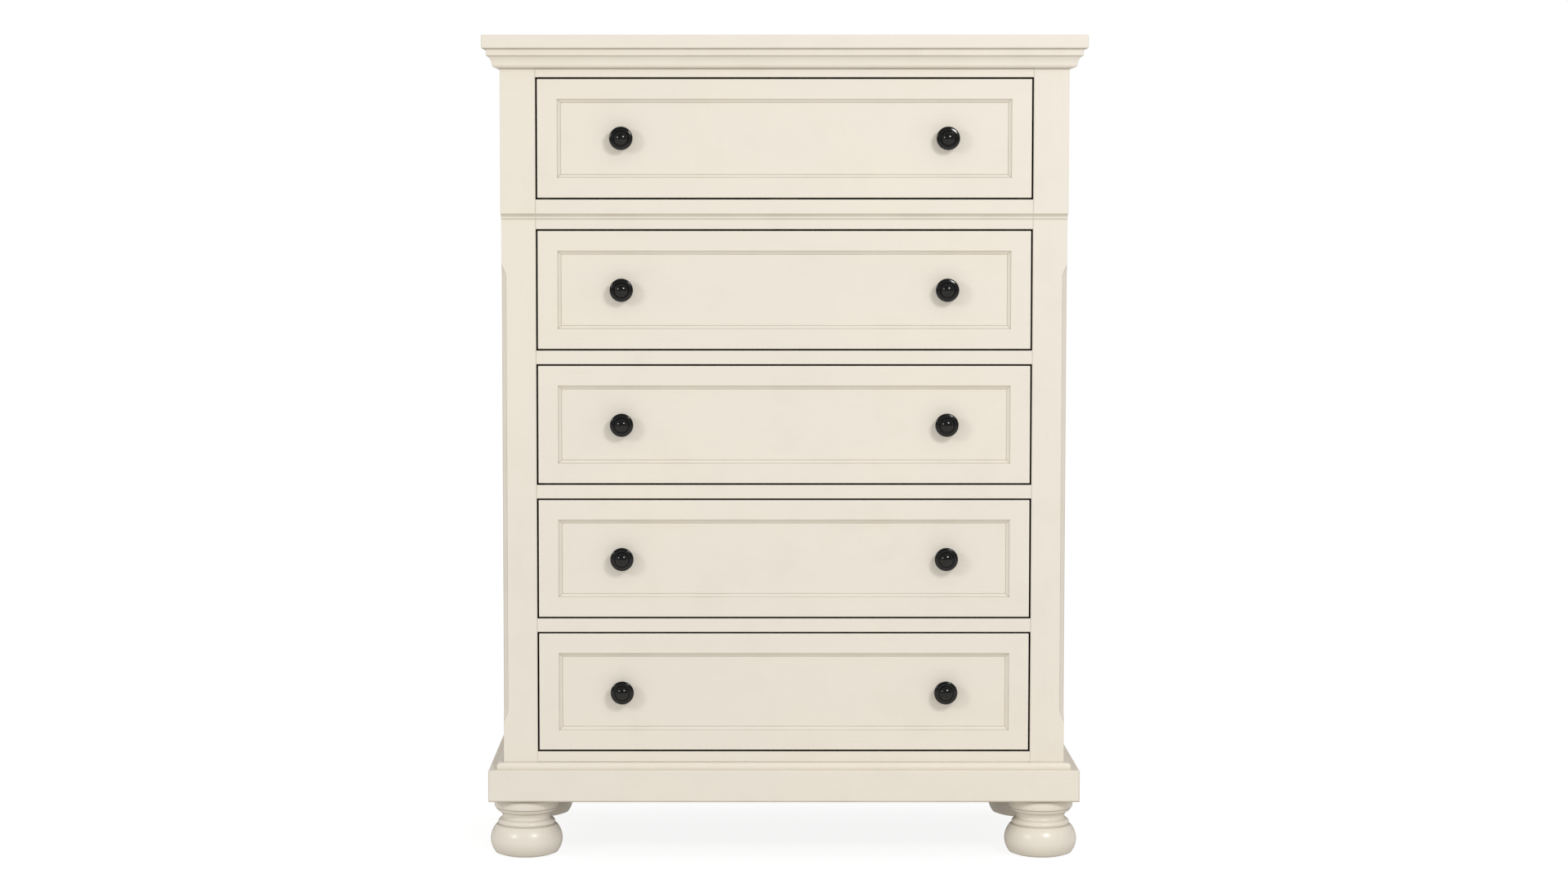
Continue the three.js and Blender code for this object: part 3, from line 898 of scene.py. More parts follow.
def carcass_piece(solid, name, finishes, replaces=()):
    """A piece that stays with the case."""
    return make_piece(solid, name, CARCASS, finishes, replaces)


class ChestTopBoard(bpy.types.Operator):
    """Makes the top board, with a rounded upper arris and a rounded, undercut lower edge"""

    bl_idname = "chest.top_board"
    bl_label = "Top board"

    undercut = 4 * MM
    underside = 3.5 * MM
    # Painted shade on the slab's rounded underside, darkest under the overhang.
    underside_glaze = (1.0, 1.0, 0.8, 0.5, 0.2, 0.0, 0.0)
    arris = 2 * MM

    def execute(self, context):
        low, high = TOP
        rows = [(-self.undercut - 3 * MM, low.z, 1.0), (-self.undercut, low.z, 1.0)]
        bend = arc(-self.undercut, low.z + self.underside, self.undercut, self.underside, -80, 0, 6)
        rows += [(out, z, glaze) for (out, z), glaze in zip(bend, self.underside_glaze)]
        rows += [(0.0, high.z - 2 * self.arris, 0.0)]
        rows += clean(arc(-self.arris, high.z - self.arris, self.arris, self.arris, 0, 90, 4))
        slab = layered(rows, high.x, low.y, high.y, 1.8 * MM)
        carcass_piece(slab, "top_board", [paint("x")], ["top_panel"])
        return {"FINISHED"}


class ChestCornice(bpy.types.Operator):
    """Makes the cornice: a bead, a cove and a fillet mitred round the front and sides"""

    bl_idname = "chest.cornice"
    bl_label = "Cornice"

    bead_start = 2.0
    bead_out = 12.0
    bead_top = 5.5
    cove_reach = 16.9
    cove_rise = 17.3
    fillet_out = 21.0
    # Glaze and painted shade in the quirk under the fillet and in the crease at the moulding's
    # foot.
    quirk_rows = [
        (19.4, 19.7, 0.9), (20.0, 19.9, 1.0), (20.7, 20.0, 1.0),
        (21.0, 20.5, 0.7), (21.0, 21.2, 0.0),
    ]

    def profile(self, top):
        """(out, up, glaze and shade) rows in millimetres, from the foot of the moulding to its top.
        """
        bead_wide = self.bead_out - self.bead_start
        middle = self.bead_out + self.cove_reach
        rows = [(0.0, 0.0, 1.0), (1.6, 0.05, 0.5)]
        rows += clean(arc(self.bead_start, self.bead_top, bead_wide, self.bead_top, -84, -6, 7))
        rows += [(self.bead_out, self.bead_top - 0.1, 0.15)]
        cove = clean(arc(middle, self.bead_top, self.cove_reach, self.cove_rise, 177, 126, 9))
        rows += cove[:-2] + [(out, up, 0.15) for out, up, _ in cove[-2:]]
        rows += self.quirk_rows
        rows += [(self.fillet_out, top - 0.5, 0.0), (self.fillet_out, top, 0.0)]
        return rows

    def execute(self, context):
        low, high = CORNICE
        rows = in_mm(self.profile((high.z - low.z) / MM), up=low.z)
        slab = layered(rows, UPPER_HALF, UPPER_FRONT, high.y, 0.4 * MM, 0.35)
        carcass_piece(slab, "cornice", [paint("x")], ["cornice_board"])
        return {"FINISHED"}


def tongue(t):
    """The S-curve of a chamfer's stop, from 0 to 1."""
    t = min(max(t, 0.0), 1.0)
    return t * t * (3 - 2 * t)


def post_outline(front, outer, cut, glaze, edges):
    """One level of the right-hand post in plan, as (x, y, glaze and shade) rows."""
    ease = edges.ease
    joint = 0.5 * MM
    stain_and_shade_line = front + STAIN_AND_SHADE_LINE
    leg = cut * edges.chamfer
    reach = max(leg, ease)
    bend = arc(outer - ease, front + ease, ease, ease, -90, 0, 5)
    quirk = edges.chamfer_quirk * min(cut * 3, 1.0)
    slope = [
        (outer - leg, front), (outer - leg + 0.6 * quirk, front + 0.9 * quirk),
        (outer - leg + 1.3 * MM, front + 1.3 * MM), (outer - 1.3 * MM, front + leg - 1.3 * MM),
        (outer - 0.9 * quirk, front + leg - 0.6 * quirk), (outer, front + leg),
    ]
    # Painted shade in the chamfer's quirks.
    shade = [0.0, 0.9, 0.12, 0.12, 0.9, 0.0]
    blend = min(cut * 2.5, 1.0)
    rows = [
        (HALF_OPENING, POST_BACK, 0.0), (HALF_OPENING, stain_and_shade_line, 0.0),
        (HALF_OPENING, front + joint, glaze), (HALF_OPENING + joint, front, 0.5),
        (HALF_OPENING + joint + 1.4 * MM, front, glaze),
        (outer - reach - 1.5 * MM, front, glaze),
    ]
    for (bx, by), (cx, cy), quirk_shade in zip(bend, slope, shade):
        x = bx + (cx - bx) * blend
        y = by + (cy - by) * blend
        rows.append((x, y, max(glaze, quirk_shade * blend)))
    rows += [
        (outer, front + reach + 1.5 * MM, glaze), (outer, POST_BACK - 1.2 * MM, glaze),
        (outer - 0.4 * MM, POST_BACK, 0.5),
    ]
    return rows


class ChestPosts(bpy.types.Operator):
    """Makes the two front posts, with stopped chamfers and the waist moulding"""

    bl_idname = "chest.posts"
    bl_label = "Front posts"

    stop_steps = 12

    def execute(self, context):
        edges = context.scene.chest_edges
        front_rows = waist_rows(FRONT_PROUD, edges, CASE_BOTTOM, CASE_TOP)
        side_rows = waist_rows(SIDE_PROUD, edges, CASE_BOTTOM, CASE_TOP)
        levels = [(CASE_BOTTOM, 0.0, 0.0, 0.9, 0.0), (CASE_BOTTOM + 1.3 * MM, 0.0, 0.0, 0.0, 0.0)]
        shares = [i / self.stop_steps for i in range(self.stop_steps + 1)]
        for t in shares:
            levels.append((edges.chamfer_low + t * edges.chamfer_stop, 0.0, 0.0, 0.0, tongue(t)))
        for t in reversed(shares):
            levels.append((edges.chamfer_high - t * edges.chamfer_stop, 0.0, 0.0, 0.0, tongue(t)))
        for (out, z, glaze), (side_out, _, _) in zip(front_rows[1:-1], side_rows[1:-1]):
            levels.append((z, out, side_out, glaze, 0.0))
        levels += [
            (CASE_TOP - 1.8 * MM, FRONT_PROUD, SIDE_PROUD, 0.0, 0.0),
            (CASE_TOP - 0.9 * MM, FRONT_PROUD, SIDE_PROUD, 0.8, 0.0),
            (CASE_TOP, FRONT_PROUD, SIDE_PROUD, 0.9, 0.0),
        ]
        for side in ("right", "left"):
            post = Solid()
            rings = []
            for z, out, side_out, glaze, cut in levels:
                rows = post_outline(BODY_FRONT - out, BODY_HALF + side_out, cut, glaze, edges)
                rings.append(post.ring([((x, y, z), shade) for x, y, shade in rows]))
            post.stack(rings)
            inner = HALF_OPENING + HAIR
            post.finish_where(lambda p: p.x < inner and p.y > BODY_FRONT + STAIN_AND_SHADE_LINE + HAIR)
            if side == "left":
                post.mirrored()
            finishes = [paint("z"), wood("stain", "z")]
            carcass_piece(post, f"{side}_post", finishes, [f"{side}_front_post"])
        return {"FINISHED"}


class ChestRails(bpy.types.Operator):
    """Makes the rails between the drawers and the case bottom"""

    bl_idname = "chest.rails"
    bl_label = "Rails"

    def rail(self, node, edges, arris):
        """A plain rail, with painted shade held on its upper arris."""
        low, high = box_of(node)
        front = low.y
        line = front + STAIN_AND_SHADE_LINE
        outline = [
            (line, low.z), (high.y, low.z), (high.y, high.z), (line, high.z),
            (front, high.z, edges.ease, arris), (front, low.z),
        ]
        rows = soften(outline, edges.ease, edges.crease)
        return straight_run(rows, "x", low.x, high.x, JOINT_EASE, JOINT_GLAZE)

    def execute(self, context):
        edges = context.scene.chest_edges
        finishes = [paint("x"), wood("stain", "x")]
        for node in ("top_rail", "rail_2_3", "rail_3_4", "rail_4_5"):
            rail = self.rail(node, edges, 0.9 if node == "top_rail" else 0.0)
            hidden = box_of(node)[0].y + STAIN_AND_SHADE_LINE + HAIR
            rail.finish_where(lambda p, y=hidden: p.y > y)
            carcass_piece(rail, node + "_board", finishes, [node])
        low, high = WAIST_RAIL
        ease = edges.ease
        tuck = 0.3 * ease
        face = waist_rows(FRONT_PROUD, edges, low.z + ease, high.z - ease)
        rows = [
            (BODY_FRONT + tuck, low.z + tuck, 0.0), (BODY_FRONT + ease, low.z, 0.0),
            (BODY_FRONT + STAIN_AND_SHADE_LINE, low.z, 0.0), (high.y, low.z, 0.0), (high.y, high.z, 0.0),
            (UPPER_FRONT + STAIN_AND_SHADE_LINE, high.z, 0.0), (UPPER_FRONT + ease, high.z, 0.0),
            (UPPER_FRONT + tuck, high.z - tuck, 0.0),
        ]
        rows += [(BODY_FRONT - out, z, glaze) for out, z, glaze in reversed(face)]
        waist = straight_run(rows, "x", low.x, high.x, JOINT_EASE, JOINT_GLAZE)
        waist.finish_where(lambda p: p.y > BODY_FRONT + STAIN_AND_SHADE_LINE + HAIR)
        carcass_piece(waist, "waist_rail_board", finishes, ["waist_rail"])
        self.bottom(edges, finishes)
        return {"FINISHED"}

    def bottom(self, edges, finishes):
        """The bottom board, which shows as the lowest rail."""
        low, high = BOTTOM_BOARD
        line = low.y + STAIN_AND_SHADE_LINE
        plan = [
            (-HALF_OPENING, low.y), (HALF_OPENING, low.y), (HALF_OPENING, line),
            (HALF_OPENING, POST_BACK), (high.x, POST_BACK), (high.x, high.y),
            (-high.x, high.y), (-high.x, POST_BACK), (-HALF_OPENING, POST_BACK),
            (-HALF_OPENING, line),
        ]
        rows = soften(plan, JOINT_EASE, edges.crease, 0.0)
        board = straight_run(rows, "z", low.z, high.z, edges.ease)
        board.finish_where(lambda p: p.y > line or abs(p.z - high.z) < HAIR)
        carcass_piece(board, "case_bottom", finishes, ["bottom_board"])


class ChestSides(bpy.types.Operator):
    """Makes both sides: a rear stile, three rails and two moulded panels on each"""

    bl_idname = "chest.sides"
    bl_label = "Sides"

    ease = 0.4 * MM
    panel_recess = 4.5 * MM

    def panel(self, low_y, high_y, low_z, high_z, outer, inner):
        """A recessed side panel inside its moulding."""
        fronts = bpy.context.scene.chest_fronts
        thickness = outer - inner
        rows = [(0.0, 0.0, 0.0, 0.0), (0.0, thickness - 1.2 * MM, 0.7, 0.7)]
        rows += moulding_rows(0.0, thickness - 0.5 * MM, fronts, self.panel_recess)
        return panelled(
            low_y, high_y, low_z, high_z, rows, lambda y, z, h: (inner + h, y, z),
        )

    def execute(self, context):
        edges = context.scene.chest_edges
        fronts = context.scene.chest_fronts
        inner = SIDE[0].x
        rear = SIDE[1].y - fronts.stile
        rail_top = CASE_BOTTOM + fronts.side_rail
        waist_low = WAIST_RAIL[0].z - 0.5 * fronts.stile
        waist_high = WAIST_RAIL[1].z + 0.25 * fronts.stile
        head = CASE_TOP - fronts.stile
        finishes = [paint("z"), wood("stain", "z")]
        along = [paint("y"), wood("stain", "y")]
        for side in ("right", "left"):
            node = f"{side}_side_panel"
            pieces = [
                ("lower_panel", self.panel(POST_BACK, rear, rail_top, waist_low, BODY_HALF, inner),
                 finishes),
                ("upper_panel", self.panel(POST_BACK, rear, waist_high, head, UPPER_HALF, inner),
                 finishes),
                ("bottom_rail", eased_board(
                    (inner, POST_BACK, CASE_BOTTOM), (BODY_HALF, rear, rail_top), "y",
                    JOINT_EASE, 0.5), along),
                ("head_rail", eased_board(
                    (inner, POST_BACK, head), (UPPER_HALF, rear, CASE_TOP), "y",
                    JOINT_EASE, 0.5), along),
                ("middle_rail", self.middle(edges, inner, rear, waist_low, waist_high), along),
                ("rear_stile", self.stile(edges, inner, rear), finishes),
            ]
            for label, solid, looks in pieces:
                solid.finish_where(lambda p: p.x < inner + HAIR)
                if side == "left":
                    solid.mirrored()
                carcass_piece(solid, f"{side}_side_{label}", looks, [node])
        return {"FINISHED"}

    def middle(self, edges, inner, rear, low, high):
        """The rail behind the waist, with the moulding run along it."""
        face = waist_rows(SIDE_PROUD, edges, low, high)
        ease = self.ease
        face[0] = (0.0, low + ease, 0.0)
        face[-1] = (SIDE_PROUD, high - ease, 0.0)
        rows = [(inner, high, 0.0), (inner, low, 0.0), (BODY_HALF - ease, low, 0.0)]
        rows += [(BODY_HALF + out, z, glaze) for out, z, glaze in face]
        rows += [(UPPER_HALF - ease, high, 0.0)]
        return straight_run(rows, "y", POST_BACK, rear, ease, 0.5)

    def stile(self, edges, inner, rear):
        """The rear stile, rabbeted for the back."""
        rabbet = BACK[1].x + 0.5 * MM
        stile = Solid()
        rings = []
        face = waist_rows(SIDE_PROUD, edges, CASE_BOTTOM, CASE_TOP)
        face[0] = (0.0, CASE_BOTTOM, 0.9)
        face.insert(1, (0.0, CASE_BOTTOM + 1.3 * MM, 0.0))
        face.insert(-1, (SIDE_PROUD, CASE_TOP - 1.2 * MM, 0.0))
        face[-1] = (SIDE_PROUD, CASE_TOP, 0.9)
        for out, z, glaze in face:
            outer = BODY_HALF + out
            plan = [
                (inner, rear), (outer - self.ease, rear), (outer, rear + self.ease),
                (outer, BACK_EDGE - 1.2 * MM), (outer - 0.35 * MM, BACK_EDGE - 0.35 * MM),
                (outer - 1.2 * MM, BACK_EDGE), (rabbet, BACK_EDGE), (rabbet, BACK[0].y),
                (inner, BACK[0].y),
            ]
            rings.append(stile.ring([((x, y, z), glaze) for x, y in plan]))
        return stile.stack(rings)


class ChestBack(bpy.types.Operator):
    """Makes the plywood back and the screws that hold it"""

    bl_idname = "chest.back"
    bl_label = "Back"

    skin = 0.5 * MM
    screw_radius = 3.4 * MM
    screw_inset = 9 * MM
    rows = 7
    lowest_row = 80 * MM
    highest_row = 40 * MM
    end_screws = (-0.3, -0.1, 0.1, 0.3)

    def execute(self, context):
        low, high = BACK
        face = high.y - self.skin
        board = eased_board(low, (high.x, face, high.z), "x", 0.6 * MM)
        carcass_piece(board, "back_board", [wood("ply", "z")], ["back_panel"])
        first = low.z + self.lowest_row
        pitch = (high.z - self.highest_row - first) / (self.rows - 1)
        spots = [
            (x, first + pitch * i) for i in range(self.rows)
            for x in (low.x + self.screw_inset, high.x - self.screw_inset)
        ]
        spots += [
            (x, z) for x in self.end_screws
            for z in (high.z - self.screw_inset, CASE_BOTTOM + self.screw_inset)
        ]
        heads = Solid()
        for x, z in spots:
            heads.add(screw_head((x, face, z), self.screw_radius, 1))
        carcass_piece(heads, "back_screws", [zinc()])
        return {"FINISHED"}


class ChestPlinth(bpy.types.Operator):
    """Makes the three plinth boards, mitred at the front corners"""

    bl_idname = "chest.plinth"
    bl_label = "Plinth"

    ledge_drop = 10.5 * MM
    cap = 12 * MM
    cap_radius = 6 * MM
    arris = 1.6 * MM
    mitre_ease = 0.8 * MM

    def execute(self, context):
        edges = context.scene.chest_edges
        low, high = PLINTH[0].z, PLINTH[1].z
        board = PLINTH_SIDE[1].x - PLINTH_SIDE[0].x
        inner = PLINTH_OUT - board
        ledge = high - self.ledge_drop
        # The lower arris carries painted shade along the plinth's under edge, and the crease under
        # the cap gets glaze and shade.
        outline = [
            (inner, high), (inner, low), (PLINTH_OUT, low, self.arris, 0.9),
            (PLINTH_OUT, ledge, self.arris), (self.cap, ledge),
        ]
        bend = self.cap_radius
        outline += arc(self.cap - bend, high - bend, bend, bend, 0, 90, 8)
        rows = soften(outline, edges.ease, edges.crease, 0.8)
        path = [
            (-BODY_HALF, BACK_EDGE), (-BODY_HALF, BODY_FRONT),
            (BODY_HALF, BODY_FRONT), (BODY_HALF, BACK_EDGE),
        ]
        for i, (name, grain) in enumerate((("left", "y"), ("front", "x"), ("right", "y"))):
            run = mitred_run(rows, path, i, self.mitre_ease, 0.9)
            carcass_piece(run, f"plinth_{name}_board", [paint(grain)], [f"plinth_{name}"])
        return {"FINISHED"}


class ChestFeet(bpy.types.Operator):
    """Turns the four bun feet, with their ringed necks and flared collars"""

    bl_idname = "chest.feet"
    bl_label = "Bun feet"

    around = 96
    spigot = 25.0
    # Painted shade darkens the bun towards the floor and the collar's top under the plinth; the
    # ring values are glaze and shade in the grooves.
    base_rows = [
        (0.0, 0.0, 0.0), (34.0, 0.0, 0.4), (38.5, 0.3, 0.4), (43.0, 1.2, 0.3), (47.0, 2.5, 0.24),
    ]
    neck_rows = [
        (51.2, 50.5, 0.0), (49.8, 51.5, 0.6), (48.6, 52.3, 0.9), (47.9, 52.9, 0.9),
        (47.8, 53.7, 0.2), (48.2, 55.0, 0.0), (48.2, 56.4, 0.0), (47.6, 57.8, 0.0),
        (46.3, 59.4, 0.0), (44.9, 60.6, 0.1), (43.9, 61.4, 0.6), (43.1, 62.1, 0.2),
        (41.6, 63.4, 0.0), (40.7, 64.9, 0.0), (40.6, 66.4, 0.0), (41.1, 68.2, 0.0),
        (42.0, 70.0, 0.0), (43.0, 71.6, 0.0), (43.9, 72.6, 0.0), (44.8, 73.3, 0.9),
        (45.9, 73.7, 1.0), (47.1, 74.2, 0.6), (48.6, 75.3, 0.0), (49.9, 76.7, 0.0),
        (50.9, 78.2, 0.0), (51.5, 79.4, 0.2), (51.6, 80.0, 1.0), (51.9, 80.5, 1.0),
        (52.7, 80.9, 0.8), (53.4, 81.9, 0.1), (54.0, 83.8, 0.0), (54.3, 86.6, 0.0),
        (54.3, 89.8, 0.0), (53.8, 92.9, 0.0), (53.0, 95.4, 0.5), (52.2, 96.8, 1.2),
        (51.2, 97.6, 1.3), (25.0, 97.7, 0.0),
    ]

    def profile(self):
        """(radius, up, glaze and shade) rows in millimetres, from the floor to the end of the
        spigot.
        """
        bun = arc(0, 27, 60.5, 45, -30, 30, 24)
        rows = list(self.base_rows)
        rows += [(r, up, max(0.0, 0.22 - 0.02 * i)) for i, (r, up) in enumerate(bun)]
        rows += self.neck_rows
        end = CASE_BOTTOM / MM - 0.3
        return rows + [(self.spigot, end, 0.0), (0.0, end, 0.0)]

    def execute(self, context):
        rows = in_mm([(max(r, 0.01), up, glaze) for r, up, glaze in self.profile()])
        for end in ("front", "rear"):
            for side in ("left", "right"):
                node = f"{end}_{side}_foot"
                low, high = box_of(node)
                centre = (0.5 * (low.x + high.x), 0.5 * (low.y + high.y), 0.0)
                foot = turned(rows, centre, "z", self.around)
                finishes = [turned_paint()]
                carcass_piece(foot, f"{end}_{side}_bun", finishes, [node])
        return {"FINISHED"}


# ------------------------------------------------------------------ drawers

# Glaze and painted shade in the moulding's quirks and inner crease; the corner values are dark
# mitre lines.
OUTER_LINE = [(0.0, 0.0, 0.0, 0.3), (0.3, -0.25, 0.3, 0.9)]
INNER_LINE = [
    (-1.0, 0.4, 0.3, 0.9), (-0.5, 0.2, 1.0, 1.0), (0.0, 0.0, 0.9, 1.0), (0.3, 0.0, 0.1, 0.3),
    (0.8, 0.0, 0.0, 0.0),
]
SLOPE_STEPS = 6
SLOPE_SAG = 0.10


def moulding_rows(inset, top, fronts, recess):
    """The moulding between a frame and its panel, as (inset, height, glaze and shade, corner
    glaze).
    """
    width = fronts.moulding
    quirk = fronts.quirk
    rows = [(inset + a * MM, top + b * MM, line, corner) for a, b, line, corner in OUTER_LINE]
    rows += [
        (inset + 0.6 * MM, top - quirk, 0.9, 1.0),
        (inset + 1.1 * MM, top - quirk - 0.1 * MM, 0.5, 1.0),
    ]
    for i in range(1, SLOPE_STEPS):
        t = i / SLOPE_STEPS
        sag = math.sin(math.pi * t) * SLOPE_SAG * recess
        across = inset + 1.1 * MM + t * (width - 2.1 * MM)
        fall = quirk + t * (recess - quirk - 0.5 * MM) + sag
        rows.append((across, top - fall, 0.04, 0.8))
    deep = top - recess
    edge = inset + width
    rows += [(edge + a * MM, deep + b * MM, line, corner) for a, b, line, corner in INNER_LINE]
    return rows


class ChestDrawerFronts(bpy.types.Operator):
    """Makes the five panelled drawer fronts"""

    bl_idname = "chest.drawer_fronts"
    bl_label = "Drawer fronts"

    def execute(self, context):
        edges = context.scene.chest_edges
        fronts = context.scene.chest_fronts
        ease = edges.ease
        bevel = 0.29 * ease
        for number in DRAWERS:
            low, high = box_of(f"drawer_{number}_front")
            thick = high.y - low.y
            edge = [
                (0.4 * MM, 0.0), (0.0, 0.4 * MM), (0.0, thick - 3.0 * MM), (0.0, thick - ease),
                (bevel, thick - bevel), (ease, thick), (ease + 1.5 * MM, thick),
                (fronts.frame_width - 1.0 * MM, thick),
            ]
            rows = [(inset, height, 0.0, 0.0) for inset, height in edge]
            rows += moulding_rows(fronts.frame_width, thick, fronts, fronts.recess)
            front = panelled(
                low.x, high.x, low.z, high.z, rows,
                lambda x, z, h, back=high.y: (x, back - h, z),
            )
            front.finish_where(lambda p, back=high.y: p.y > back - HAIR)
            node = f"drawer_{number}_front"
            finishes = [paint("x"), wood("maple", "x")]
            body = f"drawer_{number}"
            make_piece(front, node + "_board", body, finishes, [node])
        return {"FINISHED"}


class ChestDrawerBoxes(bpy.types.Operator):
    """Makes the dovetailed drawer boxes, their bottoms and their glides"""

    bl_idname = "chest.drawer_boxes"
    bl_label = "Drawer boxes"

    pins = 4
    pin_wide = 15.0 * MM
    pin_narrow = 9.5 * MM
    pin_gap = 0.15 * MM
    glide_long = 15 * MM
    glide_drop = 13 * MM
    glide_half = 31 * MM
    slot_half = 23.2 * MM
    slot_tall = 11.6 * MM
    leg_foot = 1.5 * MM

    def pin_heights(self, low, high):
        """The middles of the dovetail pins up a corner."""
        pitch = (high - low) / self.pins
        return [low + pitch * (i + 0.5) for i in range(self.pins)]

    def side(self, low, high, back_low, back_high):
        """A drawer side along Y, notched at its rear end for the pins of the back."""
        rear = high.y
        base = back_low.y
        outline = [(low.y, high.z), (low.y, low.z), (rear, low.z)]
        for z in self.pin_heights(back_low.z, back_high.z):
            outline += [
                (rear, z - 0.5 * self.pin_narrow), (base, z - 0.5 * self.pin_wide),
                (base, z + 0.5 * self.pin_wide), (rear, z + 0.5 * self.pin_narrow),
            ]
        outline += [(rear, high.z)]
        rows = soften(outline, 0.5 * MM, 0.3 * MM, 0.0)
        return straight_run(rows, "x", low.x, high.x, 0.6 * MM)

    def back(self, low, high, outer):
        """A drawer back along X, with pins that reach through both sides."""
        board = eased_board(low, high, "x", 0.4 * MM)
        gap = self.pin_gap
        for side in (-1, 1):
            ends = sorted((side * high.x, side * (outer - HAIR)))
            for z in self.pin_heights(low.z, high.z):
                pin = [
                    (low.y + gap, z - 0.5 * self.pin_wide + gap),
                    (high.y, z - 0.5 * self.pin_narrow + gap),
                    (high.y, z + 0.5 * self.pin_narrow - gap),
                    (low.y + gap, z + 0.5 * self.pin_wide - gap),
                ]
                rows = soften(pin, 0.3 * MM, 0.3 * MM)
                board.add(straight_run(rows, "x", ends[0], ends[1], 0.25 * MM))
        return board

    def execute(self, context):
        for number in DRAWERS:
            body = f"drawer_{number}"
            back_low, back_high = box_of(f"{body}_back")
            for side in ("left", "right"):
                low, high = box_of(f"{body}_{side}_side")
                wall = self.side(low, high, back_low, back_high)
                make_piece(
                    wall, f"{body}_{side}_wall", body, [wood("maple", "y")],
                    [f"{body}_{side}_side"],
                )
            outer = box_of(f"{body}_right_side")[1].x
            back = self.back(back_low, back_high, outer)
            make_piece(
                back, f"{body}_back_wall", body, [wood("maple", "x")],
                [f"{body}_back"],
            )
            low, high = box_of(f"{body}_bottom")
            floor = eased_board(low, high, "x", 0.4 * MM)
            make_piece(
                floor, f"{body}_floor", body, [wood("ply", "x")],
                [f"{body}_bottom"],
            )
            self.glide(body, back_high.y, low.z)
        return {"FINISHED"}

    def glide(self, body, rear, top):
        """A moulded block under the drawer's back that straddles the centre guide."""
        seat = top - HAIR
        opening = top - self.glide_drop
        crown = opening + self.slot_tall
        foot = opening + self.leg_foot
        reach, leg = self.glide_half, self.slot_half
        outline = [
            (-reach, seat), (-reach, foot), (-leg, foot), (-leg, crown),
            (leg, crown), (leg, foot), (reach, foot), (reach, seat),
        ]
        rows = soften(outline, 0.6 * MM, 0.4 * MM, 0.0)
        block = straight_run(rows, "y", rear - self.glide_long, rear - 0.5 * MM, 0.5 * MM)
        make_piece(block, f"{body}_glide", body, [nylon()])


class ChestKnobTurning(bpy.types.Operator):
    """Turns the ten round knobs and makes the bolts behind them"""

    bl_idname = "chest.knobs"
    bl_label = "Knobs"

    around = 64
    bolt_around = 32
    face_drop = 6.2
    ring_rows = [
        (1.6, -0.9), (1.1, -0.95), (0.8, -0.4), (0.3, 0.1),
        (-0.3, 0.1), (-0.8, -0.4), (-1.2, -0.85),
    ]
    bolt_rows = [
        (4.9, -2.4, 0.0), (5.0, -2.2, 0.0), (5.0, -1.4, 0.0),
        (8.0, -1.2, 0.0), (8.2, -1.0, 0.0), (8.2, -0.05, 0.0),
    ]

    def profile(self, radius, tall, shares):
        """(radius, out, glaze and shade) rows in millimetres, from the drawer to the top of the
        dome.
        """
        base, neck = shares.foot * radius, shares.neck * radius
        ridge, dome = shares.ridge * radius, shares.dome * radius
        face = tall - self.face_drop
        points = [(0.01, 0.0), (base, 0.0)]
        points += arc(base - 1.5, 1.5, 1.5, 1.5, -60, 60, 5)
        points += arc(neck + 4, 6.5, 4, 4.2, 250, 180, 6)
        points += arc(neck + 9.5, 7.5, 9.5, 8.2, 175, 100, 8)
        points += arc(radius - 2.7, tall - 10.4, 2.7, 2.8, -75, 78, 10)
        points += [(ridge + r, face + out) for r, out in self.ring_rows]
        points += [(dome + 0.3, face - 0.7)]
        points += arc(0.0, face - 0.4, dome, self.face_drop + 0.4, 4, 89.8, 14)
        return clean(points)

    def execute(self, context):
        low, high = box_of("drawer_5_left_knob")
        radius = 0.5 * (high.x - low.x)
        tall = high.y - low.y
        rows = in_mm(self.profile(radius / MM, tall / MM, context.scene.chest_knobs))
        bolt = in_mm(self.bolt_rows)
        for number in DRAWERS:
            body = f"drawer_{number}"
            inside = box_of(f"{body}_front")[1].y
            for side in ("left", "right"):
                node = f"{body}_{side}_knob"
                low, high = box_of(node)
                x, z = 0.5 * (low.x + high.x), 0.5 * (low.z + high.z)
                knob = turned(rows, (x, high.y, z), "y", self.around)
                make_piece(knob, f"{body}_{side}_pull", body, [lacquer()], [node])
                screw = turned(bolt, (x, inside, z), "y", self.bolt_around)
                make_piece(screw, f"{body}_{side}_bolt", body, [zinc()])
        return {"FINISHED"}


class ChestGuides(bpy.types.Operator):
    """Makes the wooden centre guides that the drawers run on"""

    bl_idname = "chest.guides"
    bl_label = "Drawer guides"

    bar_tall = 11 * MM
    least_notch = 1 * MM

    def execute(self, context):
        for number in DRAWERS:
            node = f"drawer_{number}_guide"
            low, high = box_of(node)
            notch = LOWEST_RAIL[1].y
            level = high.z - self.bar_tall
            outline = [
                (low.y, high.z), (low.y, level), (notch, level), (notch, low.z),
                (high.y, low.z), (high.y, high.z),
            ]
            if level - low.z < self.least_notch:
                outline = rectangle(low.y, high.y, low.z, high.z)
            rows = soften(outline, 1.0 * MM, 0.4 * MM, 0.0)
            guide = straight_run(rows, "x", low.x, high.x, 1.2 * MM)
            carcass_piece(guide, node + "_bar", [wood("maple", "y")], [node])
        return {"FINISHED"}


# ------------------------------------------------------------------ stage

def aim(item, target):
    """Turns a light to face a point."""
    item.rotation_euler = (Vector(target) - item.location).to_track_quat("-Z", "Y").to_euler()


def soft_box(name, place, target, size, power):
    """A square soft light aimed at a point."""
    light = bpy.data.lights.new(name, "AREA")
    light.shape = "SQUARE"
    light.size = size
    light.energy = power
    item = bpy.data.objects.new(name, light)
    bpy.context.scene.collection.objects.link(item)
    item.location = place
    aim(item, target)


